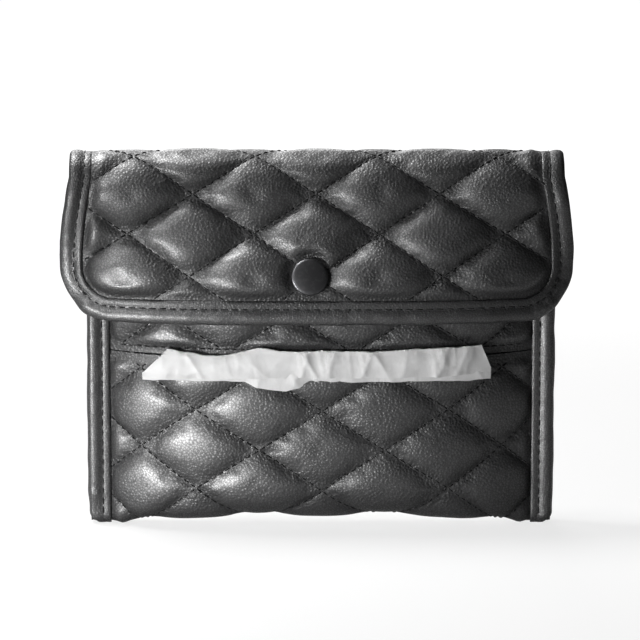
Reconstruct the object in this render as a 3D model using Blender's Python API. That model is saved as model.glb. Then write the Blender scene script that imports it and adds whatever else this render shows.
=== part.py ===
"""Car tissue holder: a quilted pouch with a fold-over flap, a snap and a tissue slit.

Metres, +Z up, the front towards -Y. The origin is the centre of the back face. Heights are
counted from the bottom corners while the pieces are worked out, and at() lowers them to the frame.
"""

import math

import bmesh
import bpy
from mathutils import Vector

# Whole pouch
HEIGHT = 0.157
BODY_WIDTH = 0.194
FOLD_SPREAD = 0.004
FLAP_SPREAD = 0.008
FLARE_RISE = 0.012
FLAP_LEAN = 0.0016

# Layers
QUILT_BASE = 0.0015
FRONT_RELIEF = 0.0028
BACK_RELIEF = 0.0018
LINING = 0.0006
LAYER_GAP = 0.0007
LINING_GAP = 0.0003
NODE_GAP = 0.0003
LINING_COLUMNS = 18
LINING_ROWS = 8
FLAP_LINING_COLUMNS = 30

# Quilting: diamonds, and where each panel has a crossing of its stitch lines
DIAMOND_WIDTH = 0.0505
DIAMOND_HEIGHT = 0.033
PILLOW_LINE_SHARES = (0.0, 0.18, 0.82)
PILLOW_POWER = 0.35
RELIEF_START = 0.0015
RELIEF_FADE = 0.007
WRAP_CROSSING_X = 0.0004
WRAP_CROSSING_DEPTH = 0.0222
UPPER_CROSSING_X = -0.0125
UPPER_CROSSING_RISE = 0.018
FLAP_CROSSING_X = -0.002

# Pocket
POCKET_DEPTH = 0.019
POCKET_FULL_RISE = 0.015
MOUTH_DROP = 0.0045
MOUTH_DEPTH_SHARE = 0.40
CROWN_POWER = 3.2
BOTTOM_RISE = 0.0065
TURN_SHARE = 0.6
TURN_CUTS = 7
SIDE_CUT = 0.008
SIDE_CUTS = 3
EDGE_ROWS = 8

# Slit
SLIT_DROP = 0.0158
SLIT_HALF_LENGTH = 0.078
SLIT_GAPE = 0.0032
SLIT_CLOSED_GAP = 0.0004
LIP_POWER = 6
LIP_RUN = 0.012
HEM = 0.005

# Bindings
TAPE = 0.001
TAPE_GAP = 0.0003
BINDING_WIDTH = 0.0097
BINDING_STEP = 0.0045
NOSE_STEPS = 4
MOUTH_BINDING_WIDTH = 0.008
MOUTH_BINDING_SHARE = 0.9

# Top fold and flap
FOLD_DEPTH = 0.016
FOLD_STEPS = 8
HINGE_RISE = 0.006
FLAP_OFFSET = 0.0069
FLAP_DROP = 0.0577
FLAP_CORNER_RADIUS = 0.0207
FLAP_CORNER_STEPS = 6
FLAP_FLARE_DROP = 0.034
FLAP_SETTLE_DROP = 0.0345

# Snap
SNAP_X = -0.0045
SNAP_DROP = 0.0399
SNAP_SEAT_MARGIN = 0.0007
SNAP_SEAT_FADE = 0.006
STUD_SEAT_MARGIN = 0.0085
CAP_RADIUS = 0.0075
CAP_HEIGHT = 0.0030
CAP_RIM = 0.0009
SHANK_RADIUS = 0.0018
SHANK_CLEARANCE = 0.0004
SOCKET_RADIUS = 0.0055
SOCKET_PLATE = 0.0005
SOCKET_HEIGHT = 0.0021
SOCKET_BORE = 0.0030
SPRING_GROOVE = 0.0007
SPRING_GROOVE_HEIGHT = 0.0007
SPRING_WIRE_RADIUS = 0.00018
SPRING_OPENING = 0.9
STUD_FLANGE_RADIUS = 0.0045
STUD_FLANGE = 0.0005
STUD_NECK_RADIUS = 0.0019
STUD_HEAD_RADIUS = 0.0024
STUD_ENGAGED = 0.0012
POST_RADIUS = 0.0012
POST_FLANGE_RADIUS = 0.0042
POST_FLANGE = 0.0005
ROUND_STEPS = 24

# Back bands and the strips over their ends
BAND_WIDTH = 0.025
BAND = 0.0012
BAND_CENTRE_X = 0.048
BAND_BOW = 0.0075
BAND_RAMP = 0.016
BAND_RAMP_STEPS = 6
BAND_END = 0.011
STRIP_OVERHANG = 0.0095
STRIP_HEIGHT = 0.014
STRIP = 0.003
LOWER_STRIP_Z = 0.033
UPPER_STRIP_DROP = 0.0195
STRIP_SEAT_MARGIN = 0.009
STRIP_SEAT_FADE = 0.006

# Tissues
STACK_SIDE_SPACE = 0.012
STACK_FLOOR_SPACE = 0.0055
STACK_TOP_SPACE = 0.026
STACK_GAP = 0.0004
STACK_COLUMNS = 14
STACK_ROW_SHARES = (0.0, 0.03, 0.07, 0.14, 0.24, 0.38, 0.54, 0.70, 0.84, 0.94, 1.0)
TISSUE_SIDE_SPACE = 0.007
TISSUE_CENTRE_X = -0.0016
TISSUE_THICKNESS = 0.0006
TISSUE_COLUMNS = 16
TISSUE_LIP_GAP = 0.0010
TISSUE_REACH = 0.0046
TISSUE_RISE = 0.0036
TISSUE_DROP = 0.0110
TISSUE_REACH_SHARES = (0.0, 0.16, 0.34, 0.66, 0.92, 1.0, 0.94)
TISSUE_LIFT_SHARES = (0.0, 0.05, 0.70, 1.0, 0.55, 0.0, 0.0)
TISSUE_FALL_SHARES = (0.0, 0.0, 0.0, 0.0, 0.0, 0.42, 1.0)
MITRE_LIMIT_SHARE = 0.5

# Working steps
NORMAL_STEP = 0.0001
CUT_OVERRUN = 0.004
MERGE = 0.000001
SHARP_DEGREES = 30

# Sizes that follow
EDGE_INSET = TAPE + TAPE_GAP
FOLD_WIDTH = BODY_WIDTH + 2 * FOLD_SPREAD
FLAP_WIDTH = BODY_WIDTH + 2 * FLAP_SPREAD
BODY_HALF = BODY_WIDTH / 2 - EDGE_INSET
FOLD_HALF = FOLD_WIDTH / 2 - EDGE_INSET
FLAP_HALF = FLAP_WIDTH / 2 - EDGE_INSET
FLAP_RIM = BINDING_WIDTH - EDGE_INSET + NODE_GAP
CROWN_HALF = BODY_WIDTH / 2 - BINDING_WIDTH - NODE_GAP
FOLD_Z = HEIGHT - FOLD_DEPTH / 2 - QUILT_BASE - TAPE
MOUTH_Z = FOLD_Z - MOUTH_DROP
SLIT_Z = FOLD_Z - FLAP_DROP - SLIT_DROP
UNDER_MOUTH_BINDING_Z = MOUTH_Z - MOUTH_BINDING_WIDTH - NODE_GAP
FLARE_START = SLIT_Z + FLARE_RISE
POCKET_FULL_Z = SLIT_Z + POCKET_FULL_RISE
BACK_Y = -(QUILT_BASE + BACK_RELIEF)
LINING_LOW = -(LAYER_GAP + LINING)
SEAM_PACK = 2 * (LAYER_GAP + LINING) + LINING_GAP
HINGE_Y = BACK_Y - FOLD_DEPTH / 2
HINGE_Z = FOLD_Z + HINGE_RISE
FLAP_FOLD_Y = BACK_Y - FOLD_DEPTH
FLAP_SETTLE_Z = FOLD_Z - FLAP_SETTLE_DROP
SNAP_Z = FOLD_Z - SNAP_DROP
WRAP_CROSSING = (WRAP_CROSSING_X, WRAP_CROSSING_DEPTH)
UPPER_CROSSING = (UPPER_CROSSING_X, SLIT_Z + UPPER_CROSSING_RISE)
FLAP_CROSSING = (FLAP_CROSSING_X, SNAP_DROP)
FOLD_CROSSING = (FLAP_CROSSING_X + FLAP_LEAN, -SNAP_DROP)
FOLD_ARC = FOLD_DEPTH / 2 + QUILT_BASE
SNAP_SEAT_RADIUS = CAP_RADIUS + SNAP_SEAT_MARGIN
STUD_SEAT_RADIUS = STUD_FLANGE_RADIUS + STUD_SEAT_MARGIN
UPPER_STRIP_Z = FOLD_Z - UPPER_STRIP_DROP
STRIP_LENGTH = 2 * (BAND_CENTRE_X + BAND_WIDTH / 2 + STRIP_OVERHANG)
STRIP_SEAT_Y = BACK_Y + QUILT_BASE + NODE_GAP
STACK_HALF = CROWN_HALF - STACK_SIDE_SPACE
STACK_BOTTOM_Z = QUILT_BASE + BOTTOM_RISE + STACK_FLOOR_SPACE
STACK_TOP_Z = MOUTH_Z - STACK_TOP_SPACE
TISSUE_HALF = SLIT_HALF_LENGTH - TISSUE_SIDE_SPACE
SOCKET_TOP = LINING_LOW - NODE_GAP
SOCKET_UNDER = SOCKET_TOP - SOCKET_PLATE
SOCKET_BOTTOM = SOCKET_TOP - SOCKET_HEIGHT


def smooth(share):
    """0 to 1 with a level start and end."""
    share = min(1.0, max(0.0, share))
    return share * share * (3 - 2 * share)


def at(x, y, z):
    """A point given from the bottom corners' height, in the part's frame."""
    return Vector((x, y, z - HEIGHT / 2))


# The pouch's own shape


def flare(z):
    return smooth((z - FLARE_START) / (FOLD_Z - FLARE_START))


def across(u, z):
    """The real x of a point whose place across the body's panels is u."""
    half = BODY_HALF + (FOLD_HALF - BODY_HALF) * flare(z)
    return u * half / BODY_HALF - FLAP_LEAN * flare(z)


def crown(x, half=CROWN_HALF):
    return 1 - min(1.0, abs(x) / half) ** CROWN_POWER


def fullness(z):
    """1 where the pocket is full, less towards its mouth."""
    return 1 - (1 - MOUTH_DEPTH_SHARE) * smooth((z - POCKET_FULL_Z) / (FOLD_Z - POCKET_FULL_Z))


def pocket_gap(x, z):
    """How far the front stands off the back because of what the pocket holds."""
    return POCKET_DEPTH * crown(x) * fullness(z)


def front_y(x, z):
    """The inner face of the front panels."""
    return BACK_Y - SEAM_PACK - pocket_gap(x, z)


def turn_depth(u):
    return SEAM_PACK + POCKET_DEPTH * crown(u)


def turn_z(u):
    """Where the front and the back start to turn under."""
    return QUILT_BASE + BOTTOM_RISE * crown(u) + TURN_SHARE * turn_depth(u)


def turn_length(u):
    across_half = turn_depth(u) / 2
    down = TURN_SHARE * turn_depth(u)
    return math.pi * math.sqrt((across_half**2 + down**2) / 2)


def lip(x):
    """How far each lip of the slit stands from its middle line."""
    share = min(1.0, abs(x) / SLIT_HALF_LENGTH)
    return SLIT_CLOSED_GAP / 2 + (SLIT_GAPE - SLIT_CLOSED_GAP) / 2 * (1 - share**LIP_POWER)


def wrap_point(u, stage):
    """Inner face of the wrap: stage 0 to 1 is the front, 1 to 2 the turn, 2 to 3 the back."""
    turn = turn_z(u)
    if stage <= 1:
        z = SLIT_Z - stage * (SLIT_Z - turn)
        z -= lip(u) * (1 - smooth((SLIT_Z - z) / LIP_RUN))
        return at(u, front_y(u, z), z)
    if stage <= 2:
        half = turn_depth(u) / 2
        angle = math.pi * (stage - 1)
        y = BACK_Y - half - half * math.cos(angle)
        return at(u, y, turn - TURN_SHARE * turn_depth(u) * math.sin(angle))
    z = turn + (stage - 2) * (FOLD_Z - NODE_GAP / 2 - turn)
    return at(across(u, z), BACK_Y, z)


def wrap_length(u, stage):
    """Length along the wrap from the slit, which the quilting follows."""
    turn = turn_z(u)
    front = min(stage, 1.0) * (SLIT_Z - turn)
    under = min(max(stage - 1, 0.0), 1.0) * turn_length(u)
    return front + under + max(stage - 2, 0.0) * (FOLD_Z - turn)


def wrap_stage(u, length):
    front = SLIT_Z - turn_z(u)
    if length <= front:
        return length / front
    under = turn_length(u)
    if length <= front + under:
        return 1 + (length - front) / under
    return 2 + (length - front - under) / (FOLD_Z - turn_z(u))


def upper_point(u, z):
    """Inner face of the upper front panel."""
    z += lip(u) * (1 - smooth((z - SLIT_Z) / LIP_RUN))
    return at(across(u, z), front_y(u, z), z)


def flap_y(u, z):
    """The flap's inner face: it lies over the full front and settles to the fold's depth."""
    over_front = BACK_Y - SEAM_PACK - FLAP_OFFSET - POCKET_DEPTH * crown(u, FLAP_WIDTH / 2) * fullness(z)
    settle = smooth((z - FLAP_SETTLE_Z) / (FOLD_Z - FLAP_SETTLE_Z))
    return over_front + settle * (FLAP_FOLD_Y - over_front)


def flap_half(drop):
    """Half the flap panel's width, which grows below the fold."""
    left = 1 - min(1.0, max(0.0, drop / FLAP_FLARE_DROP))
    return FLAP_HALF - (FLAP_HALF - FOLD_HALF) * left**2


def flap_point(u, drop):
    """Inner face of the flap at a drop below the end of the fold."""
    z = FOLD_Z - NODE_GAP / 2 - drop
    return at(u * flap_half(drop) / FLAP_HALF - FLAP_LEAN, flap_y(u, z), z)


def flap_u(x, drop):
    return (x + FLAP_LEAN) * FLAP_HALF / flap_half(drop)


def fold_point(u, angle):
    """Inner face of the fold: angle 0 is its end at the flap, pi its end at the back."""
    half = FOLD_DEPTH / 2
    y = BACK_Y - half - half * math.cos(angle)
    return at(u - FLAP_LEAN, y, FOLD_Z + half * math.sin(angle))


def normal_of(surface, a, b):
    """The unit normal of a surface, to the right-hand side of its two directions."""
    along = surface(a + NORMAL_STEP, b) - surface(a - NORMAL_STEP, b)
    up = surface(a, b + NORMAL_STEP) - surface(a, b - NORMAL_STEP)
    return along.cross(up).normalized()


# Quilting


def pillow(x, length, crossing):
    """Height of the quilting, 0 on a stitch line and 1 in the middle of a diamond."""
    slant = (x - crossing[0]) / DIAMOND_WIDTH
    fall = (length - crossing[1]) / DIAMOND_HEIGHT
    rows = [abs(math.sin(math.pi * (slant + fall))), abs(math.sin(math.pi * (slant - fall)))]
    return (rows[0] * rows[1]) ** PILLOW_POWER


def quilt_grid(width, start, end, crossing):
    """A flat mesh of the diamonds' cells, its lines on the stitch lines, over a rectangle."""
    cells = bmesh.new()
    corners = [(x, y) for x in (-width, width) for y in (start, end)]
    slants = []
    for sign in (1, -1):
        places = [
            (x - crossing[0]) / DIAMOND_WIDTH + sign * (y - crossing[1]) / DIAMOND_HEIGHT
            for x, y in corners
        ]
        first = math.floor(min(places))
        last = math.ceil(max(places))
        slants.append([n + share for n in range(first, last) for share in PILLOW_LINE_SHARES])
    made = {}

    def spot(i, j):
        x = crossing[0] + DIAMOND_WIDTH * (slants[0][i] + slants[1][j]) / 2
        return x, crossing[1] + DIAMOND_HEIGHT * (slants[0][i] - slants[1][j]) / 2

    def corner(i, j):
        if (i, j) not in made:
            made[i, j] = cells.verts.new((*spot(i, j), 0))
        return made[i, j]

    def inside(i, j):
        x, y = spot(i, j)
        reach = DIAMOND_HEIGHT / 2
        return abs(x) < width + reach and start - reach < y < end + reach

    for i in range(len(slants[0]) - 1):
        for j in range(len(slants[1]) - 1):
            if inside(i, j):
                ring = (corner(i, j), corner(i, j + 1), corner(i + 1, j + 1), corner(i + 1, j))
                cells.faces.new(ring)
    return cells


def plain_grid(columns, rows):
    """A flat mesh with a vertex at each column and row."""
    cells = bmesh.new()
    made = [[cells.verts.new((x, y, 0)) for y in rows] for x in columns]
    for i in range(len(columns) - 1):
        for j in range(len(rows) - 1):
            cells.faces.new((made[i][j], made[i + 1][j], made[i + 1][j + 1], made[i][j + 1]))
    return cells


def spaced(start, end, count):
    return [start + (end - start) * i / count for i in range(count + 1)]


def cut(cells, point, normal, clear=True):
    """Cuts the flat mesh along a line, and drops what lies on the normal's side."""
    everything = list(cells.verts) + list(cells.edges) + list(cells.faces)
    bmesh.ops.bisect_plane(
        cells,
        geom=everything,
        dist=MERGE,
        plane_co=(point[0], point[1], 0),
        plane_no=(normal[0], normal[1], 0),
        clear_outer=clear,
    )


def trim(cells, width, start, end):
    cut(cells, (-width, 0), (-1, 0))
    cut(cells, (width, 0), (1, 0))
    cut(cells, (0, start), (0, -1))
    cut(cells, (0, end), (0, 1))


def crease_sides(cells, width, count=SIDE_CUTS):
    """Adds lines beside the side bindings, where the sheet starts to rise."""
    for step in range(count):
        for side in (-1, 1):
            cut(cells, (side * (width - step * SIDE_CUT), 0), (side, 0), clear=False)


def edge_rows(cells, width, rows):
    """Cuts only the strips under the side bindings, so that their edges follow the flare."""
    for row in rows:
        strips = [face for face in cells.faces if abs(face.calc_center_median().x) > width]
        around = {edge for face in strips for edge in face.edges}
        corners = {corner for face in strips for corner in face.verts}
        bmesh.ops.bisect_plane(
            cells,
            geom=strips + list(around) + list(corners),
            dist=MERGE,
            plane_co=(0, row, 0),
            plane_no=(0, 1, 0),
        )


# Materials and objects


def material(name, color, roughness, metallic=0.0):
    made = bpy.data.materials.new(name)
    made.use_nodes = True
    shader = made.node_tree.nodes["Principled BSDF"]
    shader.inputs["Base Color"].default_value = (*color, 1.0)
    shader.inputs["Roughness"].default_value = roughness
    shader.inputs["Metallic"].default_value = metallic
    return made


def place(name, mesh, finish, parent=None):
    """Adds the object. A parent's own place is taken out, so the mesh stays in the frame."""
    made = bpy.data.objects.new(name, mesh)
    bpy.context.scene.collection.objects.link(made)
    mesh.materials.append(finish)
    if parent:
        made.parent = parent
        made.matrix_parent_inverse = parent.matrix_world.inverted()
    return made


def mesh_from(name, shape):
    bmesh.ops.recalc_face_normals(shape, faces=shape.faces)
    mesh = bpy.data.meshes.new(name)
    shape.to_mesh(mesh)
    shape.free()
    mesh.shade_smooth()
    mesh.set_sharp_from_angle(angle=math.radians(SHARP_DEGREES))
    return mesh


def between(name, cells, faces_at, finish, parent=None):
    """Closes a flat mesh into a solid. faces_at gives the lower and the upper point of a place."""
    bmesh.ops.triangulate(cells, faces=cells.faces)
    cells.verts.index_update()
    solid = bmesh.new()
    under = []
    over = []
    for corner in cells.verts:
        low, high = faces_at(corner.co.x, corner.co.y)
        under.append(solid.verts.new(low))
        over.append(solid.verts.new(high))
    for face in cells.faces:
        ring = [corner.index for corner in face.verts]
        solid.faces.new([over[i] for i in ring])
        solid.faces.new([under[i] for i in reversed(ring)])
    for edge in cells.edges:
        if edge.is_boundary:
            loop = edge.link_loops[0]
            first = loop.vert.index
            second = loop.link_loop_next.vert.index
            solid.faces.new((over[second], over[first], under[first], under[second]))
    cells.free()
    return place(name, mesh_from(name, solid), finish, parent)


def sheet(name, cells, surface, low, high, finish, parent=None, side=1):
    """A sheet between two heights above a surface, on the cells of a flat mesh."""

    def faces_at(a, b):
        point = surface(a, b)
        normal = side * normal_of(surface, a, b)
        return point + low(a, b) * normal, point + high(a, b) * normal

    return between(name, cells, faces_at, finish, parent)


def level(height):
    return lambda a, b: height


def sweep(name, rings, finish, parent=None):
    """Joins rings of points into one tube, and closes its ends."""
    solid = bmesh.new()
    made = [[solid.verts.new(point) for point in ring] for ring in rings]
    count = len(made[0])
    for ring, after in zip(made, made[1:]):
        for i in range(count):
            j = (i + 1) % count
            solid.faces.new((ring[i], ring[j], after[j], after[i]))
    solid.faces.new(made[0])
    solid.faces.new(list(reversed(made[-1])))
    return place(name, mesh_from(name, solid), finish, parent)


def u_profile(low, high, width):
    """Points (inset from the edge, height) round a folded tape that holds low to high."""
    middle = (low + high) / 2

    def side(gap):
        half = (high - low) / 2 + gap
        bend = [
            (-gap * math.sin(turn), middle + half * math.cos(turn))
            for turn in spaced(0, math.pi, NOSE_STEPS)
        ]
        return [(width, middle + half)] + bend + [(width, middle - half)]

    return side(EDGE_INSET) + side(TAPE_GAP)[::-1]


def lathe(name, profile, finish, frame, parent=None):
    """Turns a closed profile of (radius, height) about an axis through a placed frame."""
    solid = bmesh.new()
    ring = [solid.verts.new((radius, 0, height)) for radius, height in profile]
    edges = [solid.edges.new((ring[i - 1], ring[i])) for i in range(len(ring))]
    bmesh.ops.spin(
        solid,
        geom=ring + edges,
        cent=(0, 0, 0),
        axis=(0, 0, 1),
        angle=2 * math.pi,
        steps=ROUND_STEPS,
        use_merge=True,
    )
    bmesh.ops.remove_doubles(solid, verts=solid.verts, dist=MERGE)
    bmesh.ops.dissolve_degenerate(solid, edges=solid.edges, dist=MERGE)
    made = place(name, mesh_from(name, solid), finish)
    made.matrix_world = frame
    if parent:
        made.parent = parent
        made.matrix_parent_inverse = parent.matrix_world.inverted()
    return made


def drill(piece, frame, radius):
    """Cuts a round hole through a sheet along the snap's axis."""
    shape = bmesh.new()
    depth = FLAP_OFFSET + QUILT_BASE + 2 * CUT_OVERRUN
    bmesh.ops.create_cone(
        shape,
        cap_ends=True,
        segments=ROUND_STEPS,
        radius1=radius,
        radius2=radius,
        depth=2 * depth,
    )
    mesh = bpy.data.meshes.new(piece.name + "_hole")
    shape.to_mesh(mesh)
    shape.free()
    cutter = bpy.data.objects.new(piece.name + "_hole", mesh)
    bpy.context.scene.collection.objects.link(cutter)
    cutter.matrix_world = frame
    cutter.hide_render = True
    cutter.display_type = "WIRE"
    hole = piece.modifiers.new("hole", "BOOLEAN")
    hole.operation = "DIFFERENCE"
    hole.object = cutter


# The pouch


def near_strip(x, z):
    """1 where the strips over the band ends are sewn down flat, 0 away from them."""
    found = 0.0
    for middle in (LOWER_STRIP_Z, UPPER_STRIP_Z):
        beside = max(abs(x) - STRIP_LENGTH / 2, abs(z - middle) - STRIP_HEIGHT / 2)
        beside -= STRIP_SEAT_MARGIN
        found = max(found, 1 - smooth(beside / STRIP_SEAT_FADE))
    return found


def wrap_relief(u, stage):
    length = wrap_length(u, stage)
    height = FRONT_RELIEF
    height -= (FRONT_RELIEF - BACK_RELIEF) * smooth(stage - 1)
    height *= smooth((CROWN_HALF - RELIEF_START - abs(u)) / RELIEF_FADE) * smooth(length / HEM)
    point = wrap_point(u, stage)
    height *= 1 - near_strip(point.x, point.z + HEIGHT / 2) * smooth(2 * stage - 3)
    return QUILT_BASE + height * pillow(u, length, WRAP_CROSSING)


def outer_wrap(leather):
    whole = wrap_length(0, 3)
    reach = DIAMOND_HEIGHT / 2
    cells = quilt_grid(BODY_HALF, -reach, whole + reach, WRAP_CROSSING)
    for corner in cells.verts:
        corner.co.y = wrap_stage(corner.co.x, corner.co.y) * whole / 3
    trim(cells, BODY_HALF, 0, whole)
    crease_sides(cells, CROWN_HALF)
    for stage in spaced(1, 2, TURN_CUTS):
        cut(cells, (0, stage * whole / 3), (0, 1), clear=False)
    edge_rows(cells, CROWN_HALF, [stage * whole / 3 for stage in spaced(2, 3, EDGE_ROWS)[1:-1]])

    def surface(u, y):
        return wrap_point(u, y * 3 / whole)

    def relief(u, y):
        return wrap_relief(u, y * 3 / whole)

    return sheet("outer_wrap", cells, surface, level(0), relief, leather, side=-1)


def lining_columns(half):
    return [-half, *spaced(-CROWN_HALF, CROWN_HALF, LINING_COLUMNS), half]


def wrap_lining(cloth):
    whole = wrap_length(0, 3)
    stages = spaced(0, 1, LINING_ROWS)[:-1] + spaced(1, 2, LINING_ROWS)[:-1]
    stages += spaced(2, 3, LINING_ROWS)
    rows = [stage * whole / 3 for stage in stages]
    cells = plain_grid(lining_columns(BODY_HALF), rows)

    def surface(u, y):
        return wrap_point(u, y * 3 / whole)

    return sheet("wrap_lining", cells, surface, level(LINING_LOW), level(-LAYER_GAP), cloth, side=-1)


def upper_relief(u, z):
    height = FRONT_RELIEF * smooth((CROWN_HALF - RELIEF_START - abs(u)) / RELIEF_FADE)
    height *= smooth((z - SLIT_Z) / HEM)
    height *= smooth((UNDER_MOUTH_BINDING_Z - RELIEF_START - z) / RELIEF_FADE)
    seat = math.hypot(u - SNAP_X, z - stud_z())
    height *= smooth((seat - STUD_SEAT_RADIUS) / SNAP_SEAT_FADE)
    return QUILT_BASE + height * pillow(u, z, UPPER_CROSSING)


def front_upper_panel(leather):
    top = MOUTH_Z - EDGE_INSET
    cells = quilt_grid(BODY_HALF, SLIT_Z, top, UPPER_CROSSING)
    trim(cells, BODY_HALF, SLIT_Z, top)
    crease_sides(cells, CROWN_HALF)
    cut(cells, (0, UNDER_MOUTH_BINDING_Z), (0, 1), clear=False)
    edge_rows(cells, CROWN_HALF, spaced(SLIT_Z, top, EDGE_ROWS)[1:-1])
    return sheet("front_upper_panel", cells, upper_point, level(0), upper_relief, leather)


def front_upper_lining(cloth):
    rows = spaced(SLIT_Z, MOUTH_Z - EDGE_INSET, LINING_ROWS)
    cells = plain_grid(lining_columns(BODY_HALF), rows)
    return sheet(
        "front_upper_lining", cells, upper_point, level(LINING_LOW), level(-LAYER_GAP), cloth
    )


def side_binding(name, side, leather):
    """A folded tape over the side seam, from the bottom to the fold."""
    profile = u_profile(-SEAM_PACK - QUILT_BASE, QUILT_BASE, BINDING_WIDTH - EDGE_INSET)
    count = round(FOLD_Z / BINDING_STEP)
    rings = []
    for z in spaced(-NODE_GAP, FOLD_Z - NODE_GAP / 2, count):
        edge = across(side * BODY_HALF, z)
        rings.append([at(edge - side * inset, BACK_Y + height, z) for inset, height in profile])
    return sweep(name, rings, leather)


def mouth_binding(leather):
    """A folded tape over the upper front panel's top edge, between the side bindings."""
    profile = u_profile(LINING_LOW, QUILT_BASE, MOUTH_BINDING_WIDTH - EDGE_INSET)
    top = MOUTH_Z - EDGE_INSET
    inner = CROWN_HALF * MOUTH_BINDING_SHARE
    rings = []
    for u in spaced(-inner, inner, LINING_COLUMNS):
        ring = []
        for inset, height in profile:
            point = upper_point(u, top - inset)
            ring.append(point + height * normal_of(upper_point, u, top - inset))
        rings.append(ring)
    return sweep("mouth_binding", rings, leather)


# The fold and the flap


def flap_outline():
    """The flap's edge inside its binding, from the top left round to the top right."""
    left = [(-FLAP_HALF, 0)]
    middle = FLAP_HALF - FLAP_CORNER_RADIUS
    start = FLAP_DROP - FLAP_CORNER_RADIUS
    for turn in spaced(0, math.pi / 2, FLAP_CORNER_STEPS):
        u = -middle - FLAP_CORNER_RADIUS * math.cos(turn)
        left.append((u, start + FLAP_CORNER_RADIUS * math.sin(turn)))
    return left + [(-u, drop) for u, drop in reversed(left)]


def edge_lines(outline):
    """Each side of the outline as a point on it and its normal outwards."""
    lines = []
    for (x0, y0), (x1, y1) in zip(outline, outline[1:]):
        length = math.hypot(x1 - x0, y1 - y0)
        lines.append(((x0, y0), ((y0 - y1) / length, (x1 - x0) / length)))
    return lines


def inset_of(lines, u, drop):
    """How far inside the outline a point lies."""
    return min(
        (point[0] - u) * normal[0] + (point[1] - drop) * normal[1] for point, normal in lines
    )


def flap_relief(lines):
    def relief(u, drop):
        x = flap_point(u, drop).x
        beside = inset_of(lines, u, drop) - FLAP_RIM - RELIEF_START
        height = FRONT_RELIEF * smooth(beside / RELIEF_FADE)
        seat = math.hypot(x - SNAP_X, drop - SNAP_DROP)
        height *= smooth((seat - SNAP_SEAT_RADIUS) / SNAP_SEAT_FADE)
        return QUILT_BASE + height * pillow(x, drop, FLAP_CROSSING)

    return relief


def flap_panel(leather, hinge):
    lines = edge_lines(flap_outline())
    cells = quilt_grid(FLAP_HALF + FLAP_LEAN, 0, FLAP_DROP, FLAP_CROSSING)
    for corner in cells.verts:
        corner.co.x = flap_u(corner.co.x, corner.co.y)
    cut(cells, (0, 0), (0, -1))
    for point, normal in lines:
        cut(cells, point, normal)
    crease_sides(cells, FLAP_HALF - FLAP_RIM)
    cut(cells, (0, FLAP_DROP - FLAP_RIM), (0, 1), clear=False)
    edge_rows(cells, FLAP_HALF - FLAP_RIM, spaced(0, FLAP_DROP - FLAP_CORNER_RADIUS, EDGE_ROWS)[1:])
    relief = flap_relief(lines)
    return sheet("flap_panel", cells, flap_point, level(0), relief, leather, hinge, -1)


def flap_lining(cloth, hinge):
    lines = edge_lines(flap_outline())
    columns = spaced(-FLAP_HALF, FLAP_HALF, FLAP_LINING_COLUMNS)
    cells = plain_grid(columns, spaced(0, FLAP_DROP, LINING_ROWS))
    for point, normal in lines:
        cut(cells, point, normal)
    low = level(LINING_LOW)
    high = level(-LAYER_GAP)
    return sheet("flap_lining", cells, flap_point, low, high, cloth, hinge, -1)


def outline_stations(outline):
    """Places along the outline, each with the direction out of it."""
    lines = edge_lines(outline)
    stations = []
    for index, ((x0, y0), (x1, y1)) in enumerate(zip(outline, outline[1:])):
        count = max(1, round(math.hypot(x1 - x0, y1 - y0) / BINDING_STEP))
        for share in spaced(0, 1, count)[:-1]:
            out = Vector(lines[index][1])
            if share == 0 and index:
                out = (out + Vector(lines[index - 1][1])).normalized()
            stations.append(((x0 + share * (x1 - x0), y0 + share * (y1 - y0)), out))
    stations.append((outline[-1], Vector(lines[-1][1])))
    return stations


def flap_binding(leather, hinge):
    """A folded tape round the flap's edge, from one end of the fold to the other."""
    profile = u_profile(LINING_LOW, QUILT_BASE, BINDING_WIDTH - EDGE_INSET)
    rings = []
    for (u, drop), out in outline_stations(flap_outline()):
        ring = []
        for inset, height in profile:
            a, b = u - inset * out.x, drop - inset * out.y
            ring.append(flap_point(a, b) - height * normal_of(flap_point, a, b))
        rings.append(ring)
    return sweep("flap_binding", rings, leather, hinge)


def fold_angles():
    margin = NODE_GAP / FOLD_DEPTH
    return spaced(margin, math.pi - margin, FOLD_STEPS)


def top_fold_panel(leather):
    """The flap's quilting carried on over the fold, up to the back."""
    angles = fold_angles()
    cells = quilt_grid(FOLD_HALF, 0, math.pi * FOLD_ARC, FOLD_CROSSING)
    trim(cells, FOLD_HALF, angles[0] * FOLD_ARC, angles[-1] * FOLD_ARC)
    crease_sides(cells, FOLD_HALF - FLAP_RIM, 1)
    for angle in angles[1:-1]:
        cut(cells, (0, angle * FOLD_ARC), (0, 1), clear=False)

    def surface(u, length):
        return fold_point(u, length / FOLD_ARC)

    def relief(u, length):
        beside = FOLD_HALF - FLAP_RIM - RELIEF_START - abs(u)
        share = smooth(length / (math.pi * FOLD_ARC))
        height = FRONT_RELIEF + (BACK_RELIEF - FRONT_RELIEF) * share
        height *= smooth(beside / RELIEF_FADE)
        return QUILT_BASE + height * pillow(u, length, FOLD_CROSSING)

    return sheet("top_fold_panel", cells, surface, level(0), relief, leather)


def top_fold_lining(cloth):
    cells = plain_grid([-FOLD_HALF, 0, FOLD_HALF], fold_angles())
    return sheet("top_fold_lining", cells, fold_point, level(LINING_LOW), level(-LAYER_GAP), cloth)


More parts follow.
